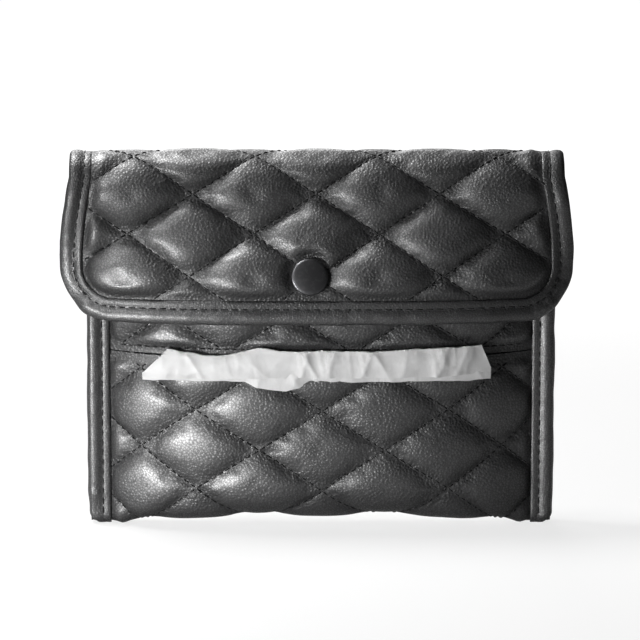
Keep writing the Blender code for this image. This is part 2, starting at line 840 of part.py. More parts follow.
def top_fold_binding(name, side, leather):
    profile = u_profile(LINING_LOW, QUILT_BASE, BINDING_WIDTH - EDGE_INSET)
    edge = side * FOLD_HALF - FLAP_LEAN
    rings = []
    for angle in fold_angles():
        ring = []
        for inset, height in profile:
            radius = FOLD_DEPTH / 2 + height
            y = BACK_Y - FOLD_DEPTH / 2 - radius * math.cos(angle)
            ring.append(at(edge - side * inset, y, FOLD_Z + radius * math.sin(angle)))
        rings.append(ring)
    return sweep(name, rings, leather)


# The snap


def snap_frame():
    """A frame on the flap's inner face at the snap, its Z outwards."""
    drop = SNAP_DROP - NODE_GAP / 2
    u = flap_u(SNAP_X, drop)
    origin = flap_point(u, drop)
    out = -normal_of(flap_point, u, drop)
    frame = out.to_track_quat("Z", "Y").to_matrix().to_4x4()
    frame.translation = origin
    return frame


def snap_depth():
    """Distance along the snap's axis from the flap's inner face to the front panel's."""
    out = snap_frame().to_3x3().col[2]
    return -FLAP_OFFSET * out.y


def stud_z():
    """The height at which the snap's axis meets the front panel."""
    out = snap_frame().to_3x3().col[2]
    return SNAP_Z - snap_depth() * out.z


def snap_cap(metal, frame, hinge):
    base = QUILT_BASE + NODE_GAP
    top = base + CAP_HEIGHT
    dish = CAP_RADIUS - 3 * CAP_RIM
    profile = [
        (0, SOCKET_UNDER),
        (SHANK_RADIUS, SOCKET_UNDER),
        (SHANK_RADIUS, base),
        (CAP_RADIUS - CAP_RIM, base),
        (CAP_RADIUS, base + CAP_RIM),
        (CAP_RADIUS, top - CAP_RIM),
        (CAP_RADIUS - CAP_RIM / 3, top - CAP_RIM / 3),
        (CAP_RADIUS - CAP_RIM, top),
        (CAP_RADIUS - 2 * CAP_RIM, top - CAP_RIM / 3),
        (dish, top - CAP_RIM / 2),
        (0, top - CAP_RIM / 2),
    ]
    return lathe("snap_cap", profile, metal, frame, hinge)


def snap_socket(metal, frame, hinge):
    groove_low = (SOCKET_UNDER + SOCKET_BOTTOM) / 2 - SPRING_GROOVE_HEIGHT / 2
    groove_high = groove_low + SPRING_GROOVE_HEIGHT
    hole = SHANK_RADIUS + NODE_GAP
    profile = [
        (hole, SOCKET_TOP),
        (hole, SOCKET_UNDER),
        (SOCKET_BORE, SOCKET_UNDER),
        (SOCKET_BORE, groove_high),
        (SOCKET_BORE + SPRING_GROOVE, groove_high),
        (SOCKET_BORE + SPRING_GROOVE, groove_low),
        (SOCKET_BORE, groove_low),
        (SOCKET_BORE, SOCKET_BOTTOM),
        (SOCKET_RADIUS - SOCKET_PLATE, SOCKET_BOTTOM),
        (SOCKET_RADIUS - SOCKET_PLATE, SOCKET_UNDER),
        (SOCKET_RADIUS, SOCKET_UNDER),
        (SOCKET_RADIUS, SOCKET_TOP),
    ]
    return lathe("snap_socket", profile, metal, frame, hinge)


def snap_spring(metal, frame, hinge):
    """An open wire ring in the socket's groove, which grips the stud's head."""
    path = bpy.data.curves.new("snap_spring", "CURVE")
    path.dimensions = "3D"
    path.bevel_depth = SPRING_WIRE_RADIUS
    path.bevel_resolution = 1
    path.use_fill_caps = True
    radius = SOCKET_BORE + SPRING_GROOVE / 2
    height = (SOCKET_UNDER + SOCKET_BOTTOM) / 2
    turns = spaced(SPRING_OPENING / 2, 2 * math.pi - SPRING_OPENING / 2, ROUND_STEPS // 2)
    line = path.splines.new("POLY")
    line.points.add(len(turns) - 1)
    for point, turn in zip(line.points, turns):
        point.co = (radius * math.cos(turn), radius * math.sin(turn), height, 1)
    path.materials.append(metal)
    made = bpy.data.objects.new("snap_spring", path)
    bpy.context.scene.collection.objects.link(made)
    made.matrix_world = frame
    made.parent = hinge
    made.matrix_parent_inverse = hinge.matrix_world.inverted()
    return made


def snap_stud(metal, frame):
    floor = -snap_depth() + QUILT_BASE + NODE_GAP
    flange = floor + STUD_FLANGE
    top = SOCKET_BOTTOM + STUD_ENGAGED
    waist = (flange + top) / 2
    hollow = POST_RADIUS + NODE_GAP
    profile = [
        (hollow, floor),
        (STUD_FLANGE_RADIUS, floor),
        (STUD_FLANGE_RADIUS, flange),
        (STUD_NECK_RADIUS, flange),
        (STUD_NECK_RADIUS, waist),
        (STUD_HEAD_RADIUS, waist + (top - waist) / 2),
        (STUD_NECK_RADIUS, top),
        (0, top),
        (0, flange + NODE_GAP),
        (hollow, flange + NODE_GAP),
    ]
    return lathe("snap_stud", profile, metal, frame)


def snap_stud_post(metal, frame):
    under = -snap_depth() + LINING_LOW - NODE_GAP
    top = -snap_depth() + QUILT_BASE + NODE_GAP + STUD_FLANGE
    profile = [
        (0, under - POST_FLANGE),
        (POST_FLANGE_RADIUS, under - POST_FLANGE),
        (POST_FLANGE_RADIUS, under),
        (POST_RADIUS, under),
        (POST_RADIUS, top),
        (0, top),
    ]
    return lathe("snap_stud_post", profile, metal, frame)


# The back


def visor_band(name, middle, elastic):
    """An elastic band sewn down at both ends, standing off the back between them."""
    low = LOWER_STRIP_Z - BAND_END / 2
    high = UPPER_STRIP_Z + BAND_END / 2
    lift_start = LOWER_STRIP_Z + STRIP_HEIGHT / 2
    lift_end = UPPER_STRIP_Z - STRIP_HEIGHT / 2
    rows = [low] + spaced(lift_start, lift_start + BAND_RAMP, BAND_RAMP_STEPS)
    rows += spaced(lift_end - BAND_RAMP, lift_end, BAND_RAMP_STEPS) + [high]
    cells = plain_grid([middle - BAND_WIDTH / 2, middle + BAND_WIDTH / 2], rows)

    def surface(x, z):
        lifted = min(smooth((z - lift_start) / BAND_RAMP), smooth((lift_end - z) / BAND_RAMP))
        return at(x, STRIP_SEAT_Y + BAND_BOW * lifted, z)

    return sheet(name, cells, surface, level(0), level(BAND), elastic, side=-1)


def anchor_strip(name, middle, leather):
    """A strip sewn to the back, with a recess on its inner side for each band's end."""
    seat = STRIP_SEAT_Y
    outer = seat + STRIP
    recess = seat + BAND + NODE_GAP
    ends = BAND_WIDTH / 2 + NODE_GAP
    outline = [(-STRIP_LENGTH / 2, outer), (-STRIP_LENGTH / 2, seat)]
    for band in (-BAND_CENTRE_X, BAND_CENTRE_X):
        outline += [(band - ends, seat), (band - ends, recess)]
        outline += [(band + ends, recess), (band + ends, seat)]
    outline += [(STRIP_LENGTH / 2, seat), (STRIP_LENGTH / 2, outer)]
    solid = bmesh.new()
    base = middle - STRIP_HEIGHT / 2
    face = solid.faces.new([solid.verts.new(at(x, y, base)) for x, y in outline])
    raised = bmesh.ops.extrude_face_region(solid, geom=[face])["geom"]
    top = [corner for corner in raised if isinstance(corner, bmesh.types.BMVert)]
    bmesh.ops.translate(solid, verts=top, vec=(0, 0, STRIP_HEIGHT))
    return place(name, mesh_from(name, solid), leather)


# The tissues


def pocket_limits(x, z):
    """The back and the front of the room inside the linings, at a place in the pocket."""
    back = BACK_Y + LINING_LOW
    if z >= turn_z(x):
        return back, front_y(x, z) - LINING_LOW
    half = turn_depth(x) / 2
    down = TURN_SHARE * turn_depth(x) + LINING_LOW
    share = min(1.0, (turn_z(x) - z) / down)
    reach = (half + LINING_LOW) * math.sqrt(1 - share**2)
    return BACK_Y - half + reach, BACK_Y - half - reach


def tissue_stack(paper):
    """The folded tissues, pressed by the pocket into its own crowned shape."""
    height = STACK_TOP_Z - STACK_BOTTOM_Z
    rows = [STACK_BOTTOM_Z + share * height for share in STACK_ROW_SHARES]
    cells = plain_grid(spaced(-STACK_HALF, STACK_HALF, STACK_COLUMNS), rows)

    def faces_at(x, z):
        back, front = pocket_limits(x, z)
        return at(x, back - STACK_GAP, z), at(x, front + STACK_GAP + POST_FLANGE, z)

    return between("tissue_stack", cells, faces_at, paper)


def tissue_path(x):
    """The next tissue's way: off the stack, through the slit, up a little and down again."""
    stack = pocket_limits(x, SLIT_Z)[1] + STACK_GAP + POST_FLANGE
    path = [at(x, stack - NODE_GAP - TISSUE_THICKNESS / 2, SLIT_Z)]
    outside = front_y(x, SLIT_Z) - QUILT_BASE - FRONT_RELIEF / 2 - TISSUE_LIP_GAP
    for reach, lift, fall in zip(TISSUE_REACH_SHARES, TISSUE_LIFT_SHARES, TISSUE_FALL_SHARES):
        z = SLIT_Z + TISSUE_RISE * lift - TISSUE_DROP * fall
        path.append(at(x, outside - TISSUE_REACH * reach, z))
    return path


def pulled_tissue(paper, slide):
    """A sheet along the tissue's path, its two faces square to it."""
    columns = spaced(TISSUE_CENTRE_X - TISSUE_HALF, TISSUE_CENTRE_X + TISSUE_HALF, TISSUE_COLUMNS)
    rows = range(len(TISSUE_REACH_SHARES) + 1)
    cells = plain_grid(columns, rows)

    def faces_at(x, row):
        path = tissue_path(x)
        row = round(row)
        here = path[row]
        steps = [path[i + 1] - path[i] for i in (row - 1, row) if 0 <= i < len(path) - 1]
        along = sum((step.normalized() for step in steps), Vector()).normalized()
        out = Vector((1, 0, 0)).cross(along).normalized()
        mitre = max(MITRE_LIMIT_SHARE, along.dot(steps[0].normalized()))
        reach = TISSUE_THICKNESS / 2 / mitre * out
        return here - reach, here + reach

    return between("pulled_tissue", cells, faces_at, paper, slide)


def guide(name, point):
    """An empty on a joint's axis, which carries what moves with it."""
    made = bpy.data.objects.new(name, None)
    made.location = point
    bpy.context.scene.collection.objects.link(made)
    return made


def main():
    for item in list(bpy.data.objects):
        bpy.data.objects.remove(item)
    leather = material("quilted_leather", (0.018, 0.018, 0.019), 0.42)
    tape = material("binding_leather", (0.016, 0.016, 0.017), 0.45)
    cloth = material("lining_cloth", (0.03, 0.03, 0.032), 0.85)
    elastic = material("elastic_band", (0.02, 0.02, 0.021), 0.8)
    metal = material("dark_snap_metal", (0.10, 0.10, 0.105), 0.28, 1.0)
    brass = material("snap_metal", (0.45, 0.44, 0.42), 0.35, 1.0)
    paper = material("tissue_paper", (0.88, 0.88, 0.88), 0.9)

    hinge = guide("flap_hinge", at(0, HINGE_Y, HINGE_Z))
    slide = guide("tissue_slide", at(TISSUE_CENTRE_X, front_y(0, SLIT_Z), SLIT_Z))
    bpy.context.view_layer.update()

    outer_wrap(leather)
    wrap_lining(cloth)
    upper = front_upper_panel(leather)
    upper_inner = front_upper_lining(cloth)
    side_binding("left_side_binding", -1, tape)
    side_binding("right_side_binding", 1, tape)
    mouth_binding(tape)

    top_fold_panel(leather)
    top_fold_lining(cloth)
    top_fold_binding("top_fold_binding_left", -1, tape)
    top_fold_binding("top_fold_binding_right", 1, tape)
    flap = flap_panel(leather, hinge)
    flap_inner = flap_lining(cloth, hinge)
    flap_binding(tape, hinge)

    frame = snap_frame()
    for piece in (flap, flap_inner):
        drill(piece, frame, SHANK_RADIUS + SHANK_CLEARANCE)
    for piece in (upper, upper_inner):
        drill(piece, frame, POST_RADIUS + SHANK_CLEARANCE)
    snap_cap(metal, frame, hinge)
    snap_socket(brass, frame, hinge)
    snap_spring(brass, frame, hinge)
    snap_stud(brass, frame)
    snap_stud_post(brass, frame)

    visor_band("visor_band_left", -BAND_CENTRE_X, elastic)
    visor_band("visor_band_right", BAND_CENTRE_X, elastic)
    anchor_strip("lower_anchor_strip", LOWER_STRIP_Z, tape)
    anchor_strip("upper_anchor_strip", UPPER_STRIP_Z, tape)

    tissue_stack(paper)
    pulled_tissue(paper, slide)


if __name__ == "__main__":
    main()
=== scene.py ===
"""Car tissue holder: leather, thread, bindings, snap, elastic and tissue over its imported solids.

Metres, +Z up, the front towards -Y, in the frame of the solids. Run it as a script.
"""

import math
from collections import namedtuple

import bmesh
import bpy
import numpy as np
from bpy.props import FloatProperty, FloatVectorProperty, IntProperty, PointerProperty
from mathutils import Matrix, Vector


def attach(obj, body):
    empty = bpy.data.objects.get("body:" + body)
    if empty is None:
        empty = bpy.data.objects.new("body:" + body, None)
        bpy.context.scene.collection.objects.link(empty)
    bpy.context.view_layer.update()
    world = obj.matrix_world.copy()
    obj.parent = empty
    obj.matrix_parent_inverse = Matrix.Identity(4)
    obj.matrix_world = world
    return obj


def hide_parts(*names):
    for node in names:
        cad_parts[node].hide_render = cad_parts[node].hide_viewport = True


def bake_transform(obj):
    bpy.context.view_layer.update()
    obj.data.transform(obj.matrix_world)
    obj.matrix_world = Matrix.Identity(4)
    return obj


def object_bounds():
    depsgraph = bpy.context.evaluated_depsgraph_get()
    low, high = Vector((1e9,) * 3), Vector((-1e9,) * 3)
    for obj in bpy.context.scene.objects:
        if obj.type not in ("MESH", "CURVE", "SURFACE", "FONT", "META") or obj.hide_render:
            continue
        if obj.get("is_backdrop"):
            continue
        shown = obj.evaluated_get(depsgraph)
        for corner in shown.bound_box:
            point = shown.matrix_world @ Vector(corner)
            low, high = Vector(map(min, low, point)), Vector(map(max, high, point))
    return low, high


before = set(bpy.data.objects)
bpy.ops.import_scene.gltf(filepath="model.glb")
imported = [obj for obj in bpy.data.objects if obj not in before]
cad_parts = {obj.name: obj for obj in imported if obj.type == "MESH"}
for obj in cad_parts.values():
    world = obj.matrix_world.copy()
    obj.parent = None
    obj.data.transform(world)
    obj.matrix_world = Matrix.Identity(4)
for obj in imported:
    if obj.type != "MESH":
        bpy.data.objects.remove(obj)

bl_info = {
    "name": "Car tissue holder",
    "version": (1, 0, 0),
    "blender": (4, 5, 0),
    "location": "3D View > Sidebar > Tissue holder",
    "description": "Dresses a quilted car tissue holder piece by piece",
    "category": "Object",
}

# The pouch's shape, with heights from its bottom corners
HEIGHT = 0.157
BODY_WIDTH = 0.194
FOLD_SPREAD = 0.004
FLAP_SPREAD = 0.008
FLARE_RISE = 0.012
FLAP_LEAN = 0.0016
QUILT_BASE = 0.0015
BACK_RELIEF = 0.0018
LINING = 0.0006
LAYER_GAP = 0.0007
LINING_GAP = 0.0003
NODE_GAP = 0.0003
POCKET_DEPTH = 0.019
POCKET_FULL_RISE = 0.015
MOUTH_DROP = 0.0045
MOUTH_DEPTH_SHARE = 0.40
CROWN_POWER = 3.2
BOTTOM_RISE = 0.0065
TURN_SHARE = 0.6
SLIT_DROP = 0.0158
SLIT_HALF_LENGTH = 0.078
SLIT_GAPE = 0.0013
SLIT_CLOSED_GAP = 0.0004
LIP_POWER = 6
LIP_RUN = 0.012
TAPE = 0.001
TAPE_GAP = 0.0003
BINDING_WIDTH = 0.0097
MOUTH_BINDING_WIDTH = 0.008
MOUTH_BINDING_SHARE = 0.9
FOLD_DEPTH = 0.016
FLAP_OFFSET = 0.0069
FLAP_DROP = 0.0577
FLAP_CORNER_RADIUS = 0.0207
FLAP_FLARE_DROP = 0.034
FLAP_SETTLE_DROP = 0.0345
SNAP_X = -0.0045
SNAP_DROP = 0.0399
CAP_RADIUS = 0.0075
CAP_HEIGHT = 0.0030
STUD_SEAT_RADIUS = 0.013
WRAP_CROSSING_X = 0.0004
WRAP_CROSSING_DEPTH = 0.0222
UPPER_CROSSING_X = -0.0125
UPPER_CROSSING_RISE = 0.018
FLAP_CROSSING_X = -0.002
BEND_START_Y = -0.0045
BEND_END_Y = -0.0178

# What follows from it
EDGE_INSET = TAPE + TAPE_GAP
BODY_HALF = BODY_WIDTH / 2 - EDGE_INSET
FOLD_HALF = BODY_WIDTH / 2 + FOLD_SPREAD - EDGE_INSET
FLAP_HALF = BODY_WIDTH / 2 + FLAP_SPREAD - EDGE_INSET
CROWN_HALF = BODY_WIDTH / 2 - BINDING_WIDTH - NODE_GAP
FOLD_Z = HEIGHT - FOLD_DEPTH / 2 - QUILT_BASE - TAPE
MOUTH_Z = FOLD_Z - MOUTH_DROP
SLIT_Z = FOLD_Z - FLAP_DROP - SLIT_DROP
FLARE_START = SLIT_Z + FLARE_RISE
POCKET_FULL_Z = SLIT_Z + POCKET_FULL_RISE
BACK_Y = -(QUILT_BASE + BACK_RELIEF)
LINING_LOW = -(LAYER_GAP + LINING)
SEAM_PACK = 2 * (LAYER_GAP + LINING) + LINING_GAP
FLAP_FOLD_Y = BACK_Y - FOLD_DEPTH
FLAP_SETTLE_Z = FOLD_Z - FLAP_SETTLE_DROP
FOLD_ARC = FOLD_DEPTH / 2 + QUILT_BASE
TINY = 1e-4

# Parts of the snap, the bands, the strips and the tissues that other pieces meet
FLAP_CORNER_STEPS = 12
STRIP_LENGTH = 0.140
STRIP_HEIGHT = 0.014
STRIP = 0.003
STRIP_SEAT_Y = -0.0015
LOWER_STRIP_Z = 0.033
UPPER_STRIP_Z = FOLD_Z - 0.0195
STRIP_SEAT_MARGIN = 0.009
STRIP_SEAT_FADE = 0.006
BAND_WIDTH = 0.025
BAND = 0.0012
BAND_CENTRE_X = 0.048
BAND_BOW = 0.0075
BAND_RAMP = 0.016
BAND_END = 0.011
SHANK_RADIUS = 0.0018
SOCKET_UNDER = -0.0019
STACK_HALF = 0.075
STACK_BOTTOM_Z = 0.0135
STACK_TOP_Z = 0.116
CAP_EDGE = (
    (0.0, 0.0014), (0.00005, 0.0011), (0.00022, 0.0008), (0.0005, 0.00056), (0.0010, 0.00042),
    (0.0020, 0.00028), (0.0035, 0.00015), (0.0050, 0.00006), (0.0065, 0.00001),
)

# How the quilting lies beside the bindings and the slit
RELIEF_START = 0.0003
EDGE_FADE = 0.0045
HEM = 0.0045
HEM_STITCHES = 0.0028
HEM_START = 0.0006
SEAM_SPACING = 0.0276
SEAM_LENGTH = 0.0302
SLOPE_START = 0.047
SLOPE_TAKE = 5.0
PILLOW_POWER = 1.9
PATTERN_REACH = 1.25 * BODY_HALF
PATTERN_STEPS = 30
WRAP_SCALE = 0.07
GRID = 41
CUT_MARGIN = 0.004
UNEVEN = 0.14
QUILT_UNDER = 0.0001
SLIT_BORDER = 0.004
HEM_PAST = 0.004
SEAT_FADE = 0.006
FOLD_PUFF_SHARE = 0.75
STITCH_PAST = 0.001

# Gathers beside a seam: how far they reach and where they start, how often they come along it, how
# they shift and turn from seam to seam, their height and what they add to the seed
GATHERS = ((0.0042, 0.0007, 8.6, 3.7, 1.3, 0.00022, 0), (0.009, 0.0012, 3.1, 1.9, 2.1, 0.0003, 5))

# How the leather is settled as cloth
CLOTH_STEPS = 12
CLOTH_QUALITY = 8
CLOTH_PRESSURE = 8.0
CLOTH_BENDING = 4.0
CLOTH_EXCESS_SHARE = 0.004
CLOTH_CAP = 0.0006
CLOTH_HELD_CREST = 0.02
CLOTH_HELD_SHARE = 0.15

# Stitches: shares of their length with shares of their radius, and how they rise and dip
THREAD_RINGS = ((-0.5, 0.35), (-0.42, 0.85), (-0.15, 1.0), (0.15, 1.0), (0.42, 0.85), (0.5, 0.35))
THREAD_SIDES = 6
QUILT_THREAD = (0.0004, 0.0002)
TAPE_THREAD = (0.0003, 0.0003)
SEAM_STITCH_SHARE = 0.78
TAPE_STITCH_SHARE = 0.76
LONGEST_STITCH = 1.3

# Bindings: how the tape rolls beyond its stitches, with the spacing of its rings and its gathers
ROLL = ((0.0015, 0.5), (0.0023, 0.85), (0.0033, 1), (0.0042, 0.85))
TAPE_SWELL = 0.0006
CORNER_GATHER = 0.016
TAPE_STITCH_DIP = 0.0003
TAPE_STEP = 0.0009
MOUTH_STEP = 0.0012
FOLD_PRESS = 0.42
FOLD_PRESS_RUN = 0.012
SIDE_END = 0.0045
SIDE_END_PRESS = 0.45

# The strips and bands of the back, and the snap's cap
STRIP_STEP = 0.002
STRIP_BORDER = 0.002
STRIP_PITCH = 0.003
CROSS_HALF = 0.0095
BAND_CLEAR = 0.00006
TURNED_SIDES = 72

# The stack of folded tissues
LEAVES = 22
LEAF_GRID = (54, 36)
LEAF_GAP = 0.004
STACK_BACK_ROOM = 0.0006
STACK_FRONT_ROOM = 0.0012

# The pulled tissue's edges: places along X, and heights from the slit
TISSUE_TOP = (
    (-0.0631, 0.0030), (-0.0555, 0.0020), (-0.0455, 0.0007), (-0.0380, 0.0011),
    (-0.0290, 0.0036), (-0.0246, 0.0046), (-0.0165, 0.0028), (0.0, 0.0032),
    (0.0200, 0.0028), (0.0400, 0.0036), (0.0661, 0.0041),
)
HEM_FRONT = (
    (-0.0731, -0.0086), (-0.0300, -0.0080), (0.0, -0.0076), (0.0300, -0.0079), (0.0698, -0.0070),
)
HEM_BACK = (
    (-0.0731, -0.0096), (-0.0310, -0.0094), (-0.0265, -0.0122), (-0.0143, -0.0138),
    (-0.0085, -0.0118), (-0.0040, -0.0094), (0.0300, -0.0098), (0.0698, -0.0098),
)
PLY_BEHIND = 0.0006
PLY_COLUMNS = 190
PLY_FALL_ROWS = 40
PLY_FOLDS = ((0.5, 0.0085, 0.0011), (-0.35, 0.013, 0.0012), (0.15, 0.0042, 0.00035))


def smooth(share):
    """0 to 1 with a level start and end."""
    share = np.clip(share, 0.0, 1.0)
    return share * share * (3 - 2 * share)


def at(x, y, z):
    """Points given from the bottom corners' height, in the part's frame."""
    x, y, z = np.broadcast_arrays(x, y, z)
    return np.stack([x, y, z - HEIGHT / 2], axis=-1)


def drawn_in(u):
    """Places on the flat quilting, which takes up more of it where the front slopes to its sides."""
    past = np.maximum(np.abs(u) - SLOPE_START, 0)
    return u + np.sign(u) * SLOPE_TAKE * past**2


def drawn_out(x):
    past = np.maximum(np.abs(x) - SLOPE_START, 0)
    run = (np.sqrt(1 + 4 * SLOPE_TAKE * past) - 1) / (2 * SLOPE_TAKE)
    return np.where(past > 0, np.sign(x) * (SLOPE_START + run), x)


def flare(z):
    return smooth((z - FLARE_START) / (FOLD_Z - FLARE_START))


def across(u, z):
    half = BODY_HALF + (FOLD_HALF - BODY_HALF) * flare(z)
    return u * half / BODY_HALF - FLAP_LEAN * flare(z)


def crown(x, half=CROWN_HALF):
    return 1 - np.minimum(1.0, np.abs(x) / half) ** CROWN_POWER


def fullness(z):
    return 1 - (1 - MOUTH_DEPTH_SHARE) * smooth((z - POCKET_FULL_Z) / (FOLD_Z - POCKET_FULL_Z))


def front_y(x, z):
    return BACK_Y - SEAM_PACK - POCKET_DEPTH * crown(x) * fullness(z)


def turn_depth(u):
    return SEAM_PACK + POCKET_DEPTH * crown(u)


def turn_z(u):
    return QUILT_BASE + BOTTOM_RISE * crown(u) + TURN_SHARE * turn_depth(u)


def turn_length(u):
    half = turn_depth(u) / 2
    down = TURN_SHARE * turn_depth(u)
    return math.pi * np.sqrt((half**2 + down**2) / 2)


def lip(x):
    share = np.minimum(1.0, np.abs(x) / SLIT_HALF_LENGTH)
    return SLIT_CLOSED_GAP / 2 + (SLIT_GAPE - SLIT_CLOSED_GAP) / 2 * (1 - share**LIP_POWER)


def wrap_point(u, stage):
    """The wrap's inner face: stage 0 to 1 is the front, 1 to 2 the turn, 2 to 3 the back."""
    u, stage = np.broadcast_arrays(np.asarray(u, float), np.asarray(stage, float))
    turn = turn_z(u)
    z = SLIT_Z - stage * (SLIT_Z - turn)
    z = z - lip(u) * (1 - smooth((SLIT_Z - z) / LIP_RUN))
    front = at(u, front_y(u, z), z)
    depth = turn_depth(u)
    angle = math.pi * (stage - 1)
    y = BACK_Y - depth / 2 - depth / 2 * np.cos(angle)
    under = at(u, y, turn - TURN_SHARE * depth * np.sin(angle))
    z = turn + (stage - 2) * (FOLD_Z - NODE_GAP / 2 - turn)
    back = at(across(u, z), BACK_Y, z)
    first = (stage <= 1)[..., None]
    second = (stage <= 2)[..., None]
    return np.where(first, front, np.where(second, under, back))


def wrap_rows():
    """The quilting's length from the slit to the fold, a whole number of diamonds from the flap's."""
    loose = SLIT_Z + FOLD_Z - 2 * turn_z(0.0) + turn_length(0.0)
    past = math.pi * FOLD_ARC + SNAP_DROP
    rows = round((loose - WRAP_CROSSING_DEPTH + past) / sizes().diamond_height)
    return rows * sizes().diamond_height - past + WRAP_CROSSING_DEPTH


def wrap_pattern(u, stage):
    """The quilting's own flat coordinates on the wrap, which meet the fold's at the back's top."""
    front = SLIT_Z - turn_z(u)
    under = turn_length(u)
    back = wrap_rows() - front - under
    y = np.minimum(stage, 1) * front + np.clip(stage - 1, 0, 1) * under
    y = y + np.maximum(stage - 2, 0) * back
    top = u * FLAP_HALF / BODY_HALF - FLAP_LEAN + WRAP_CROSSING_X - FLAP_CROSSING_X
    below = drawn_in(u)
    return below + smooth(stage - 2) * (top - below), y


def wrap_unpattern(x, y):
    x = np.clip(x, -PATTERN_REACH, PATTERN_REACH)
    u = drawn_out(x)
    for _ in range(PATTERN_STEPS):
        front = SLIT_Z - turn_z(u)
        under = turn_length(u)
        back = wrap_rows() - front - under
        stage = np.where(
            y <= front,
            y / front,
            np.where(y <= front + under, 1 + (y - front) / under, 2 + (y - front - under) / back),
        )
        u = u + x - wrap_pattern(u, stage)[0]
    return u, stage


def upper_point(u, z):
    z = z + lip(u) * (1 - smooth((z - SLIT_Z) / LIP_RUN))
    return at(across(u, z), front_y(u, z), z)


def flap_y(u, z):
    full = POCKET_DEPTH * crown(u, BODY_WIDTH / 2 + FLAP_SPREAD) * fullness(z)
    over_front = BACK_Y - SEAM_PACK - FLAP_OFFSET - full
    settle = smooth((z - FLAP_SETTLE_Z) / (FOLD_Z - FLAP_SETTLE_Z))
    return over_front + settle * (FLAP_FOLD_Y - over_front)


def flap_half(drop):
    left = 1 - np.clip(drop / FLAP_FLARE_DROP, 0, 1)
    return FLAP_HALF - (FLAP_HALF - FOLD_HALF) * left**2


def flap_u(x, drop):
    return (x + FLAP_LEAN) * FLAP_HALF / flap_half(drop)


def normals(surface, a, b, side=1):
    along = surface(a + TINY, b) - surface(a - TINY, b)
    up = surface(a, b + TINY) - surface(a, b - TINY)
    out = np.cross(along, up) * side
    return out / np.maximum(np.linalg.norm(out, axis=-1, keepdims=True), 1e-12)


def value_noise(a, b, seed):
    """Smooth noise from -1 to 1 on the whole-number grid of a and b."""

    def corner(i, j):
        wave = np.sin(i * 127.1 + j * 311.7 + seed * 74.7) * 43758.5453
        return wave - np.floor(wave)

    a, b = np.broadcast_arrays(np.asarray(a, float), np.asarray(b, float))
    i, j = np.floor(a), np.floor(b)
    f, g = smooth(a - i), smooth(b - j)
    low = corner(i, j) * (1 - f) + corner(i + 1, j) * f
    high = corner(i, j + 1) * (1 - f) + corner(i + 1, j + 1) * f
    return 2 * (low * (1 - g) + high * g) - 1


# Sizes and colours a user would change


def metres(label, description, default):
    return FloatProperty(name=label, description=description, default=default, unit="LENGTH")


def tint(label, description, *default):
    return FloatVectorProperty(name=label, description=description, subtype="COLOR", size=3, default=default)


class PouchSizes(bpy.types.PropertyGroup):
    """Sizes of the quilting, thread and tissue."""

    diamond_width: metres("Diamond width", "Width of a quilted diamond", 0.0515)
    diamond_height: metres("Diamond height", "Height of a diamond", 0.033)
    flap_puff: metres("Flap puff", "Height of the flap's diamonds", 0.0040)
    front_puff: metres("Front puff", "Height of the front's diamonds", 0.0024)
    back_puff: metres("Back puff", "Height of the back's diamonds", 0.0018)
    cells: IntProperty(name="Cells", description="Mesh cells along a diamond's side", default=24, min=4)
    stitch_pitch: metres("Stitch pitch", "From one quilting stitch to the next", 0.0032)
    binding_pitch: metres("Binding stitch pitch", "From one binding stitch to the next", 0.0041)
    thread: metres("Thread radius", "Half the thread's thickness", 0.0003)
    stitch_line: metres("Stitch line", "From a binding's outer edge to its stitches", 0.0064)
    tissue: metres("Tissue thickness", "Thickness of a folded tissue's layer", 0.00012)


class PouchColours(bpy.types.PropertyGroup):
    """Colours of the leather, thread, metal and tissue."""

    leather: tint("Leather", "Black leather", 0.008, 0.008, 0.0085)
    worn: tint("Leather highs", "Leather where it is rubbed", 0.018, 0.018, 0.019)
    thread: tint("Thread", "Sewing thread", 0.004, 0.004, 0.0045)
    cloth: tint("Lining", "Lining cloth", 0.03, 0.03, 0.032)
    elastic: tint("Elastic", "Elastic band", 0.02, 0.02, 0.021)
    cap: tint("Cap", "Gunmetal plating", 0.12, 0.12, 0.125)
    nickel: tint("Snap metal", "Nickel plating", 0.62, 0.61, 0.58)
    paper: tint("Tissue", "Tissue paper", 0.82, 0.82, 0.82)
    floor: tint("Floor", "Floor and backdrop", 0.24, 0.24, 0.24)


def sizes():
    return bpy.context.scene.pouch_sizes


def colours():
    return bpy.context.scene.pouch_colours


# Plain mesh and node helpers


def set_uv(mesh, layer, uv):
    """Writes a UV map from one place for each vertex."""
    corners = np.empty(len(mesh.loops), dtype=np.int32)
    mesh.loops.foreach_get("vertex_index", corners)
    layer.data.foreach_set("uv", np.asarray(uv, dtype=np.float32)[corners].ravel())


def piece_from(name, points, faces, finish, uv, smooth_angle=65):
    """A new object at the origin from points and faces, with its finish and its own UV map."""
    mesh = bpy.data.meshes.new(name)
    mesh.from_pydata(np.asarray(points).tolist(), [], faces)
    made = bpy.data.objects.new(name, mesh)
    bpy.context.scene.collection.objects.link(made)
    mesh.materials.append(finish)
    set_uv(mesh, mesh.uv_layers.new(name="surface"), uv)
    mesh.shade_smooth()
    mesh.set_sharp_from_angle(angle=math.radians(smooth_angle))
    return made


def attribute(made, name, values):
    """Keeps a value at every vertex, which the material reads."""
    layer = made.data.attributes.new(name=name, type="FLOAT", domain="POINT")
    layer.data.foreach_set("value", np.asarray(values, dtype=np.float32))


def settle(made, body, slot, nodes=(), into=None):
    """Gives a finished piece its body, or with into only bakes its place, and hides the solids that it stands
    for. slot is not used.
    """
    if into:
        at(0, BEND_START_Y, FOLD_Z)
        at(0, BEND_END_Y, FOLD_Z)
        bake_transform(made)
    else:
        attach(made, body)
    if nodes:
        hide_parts(*nodes)
    return made


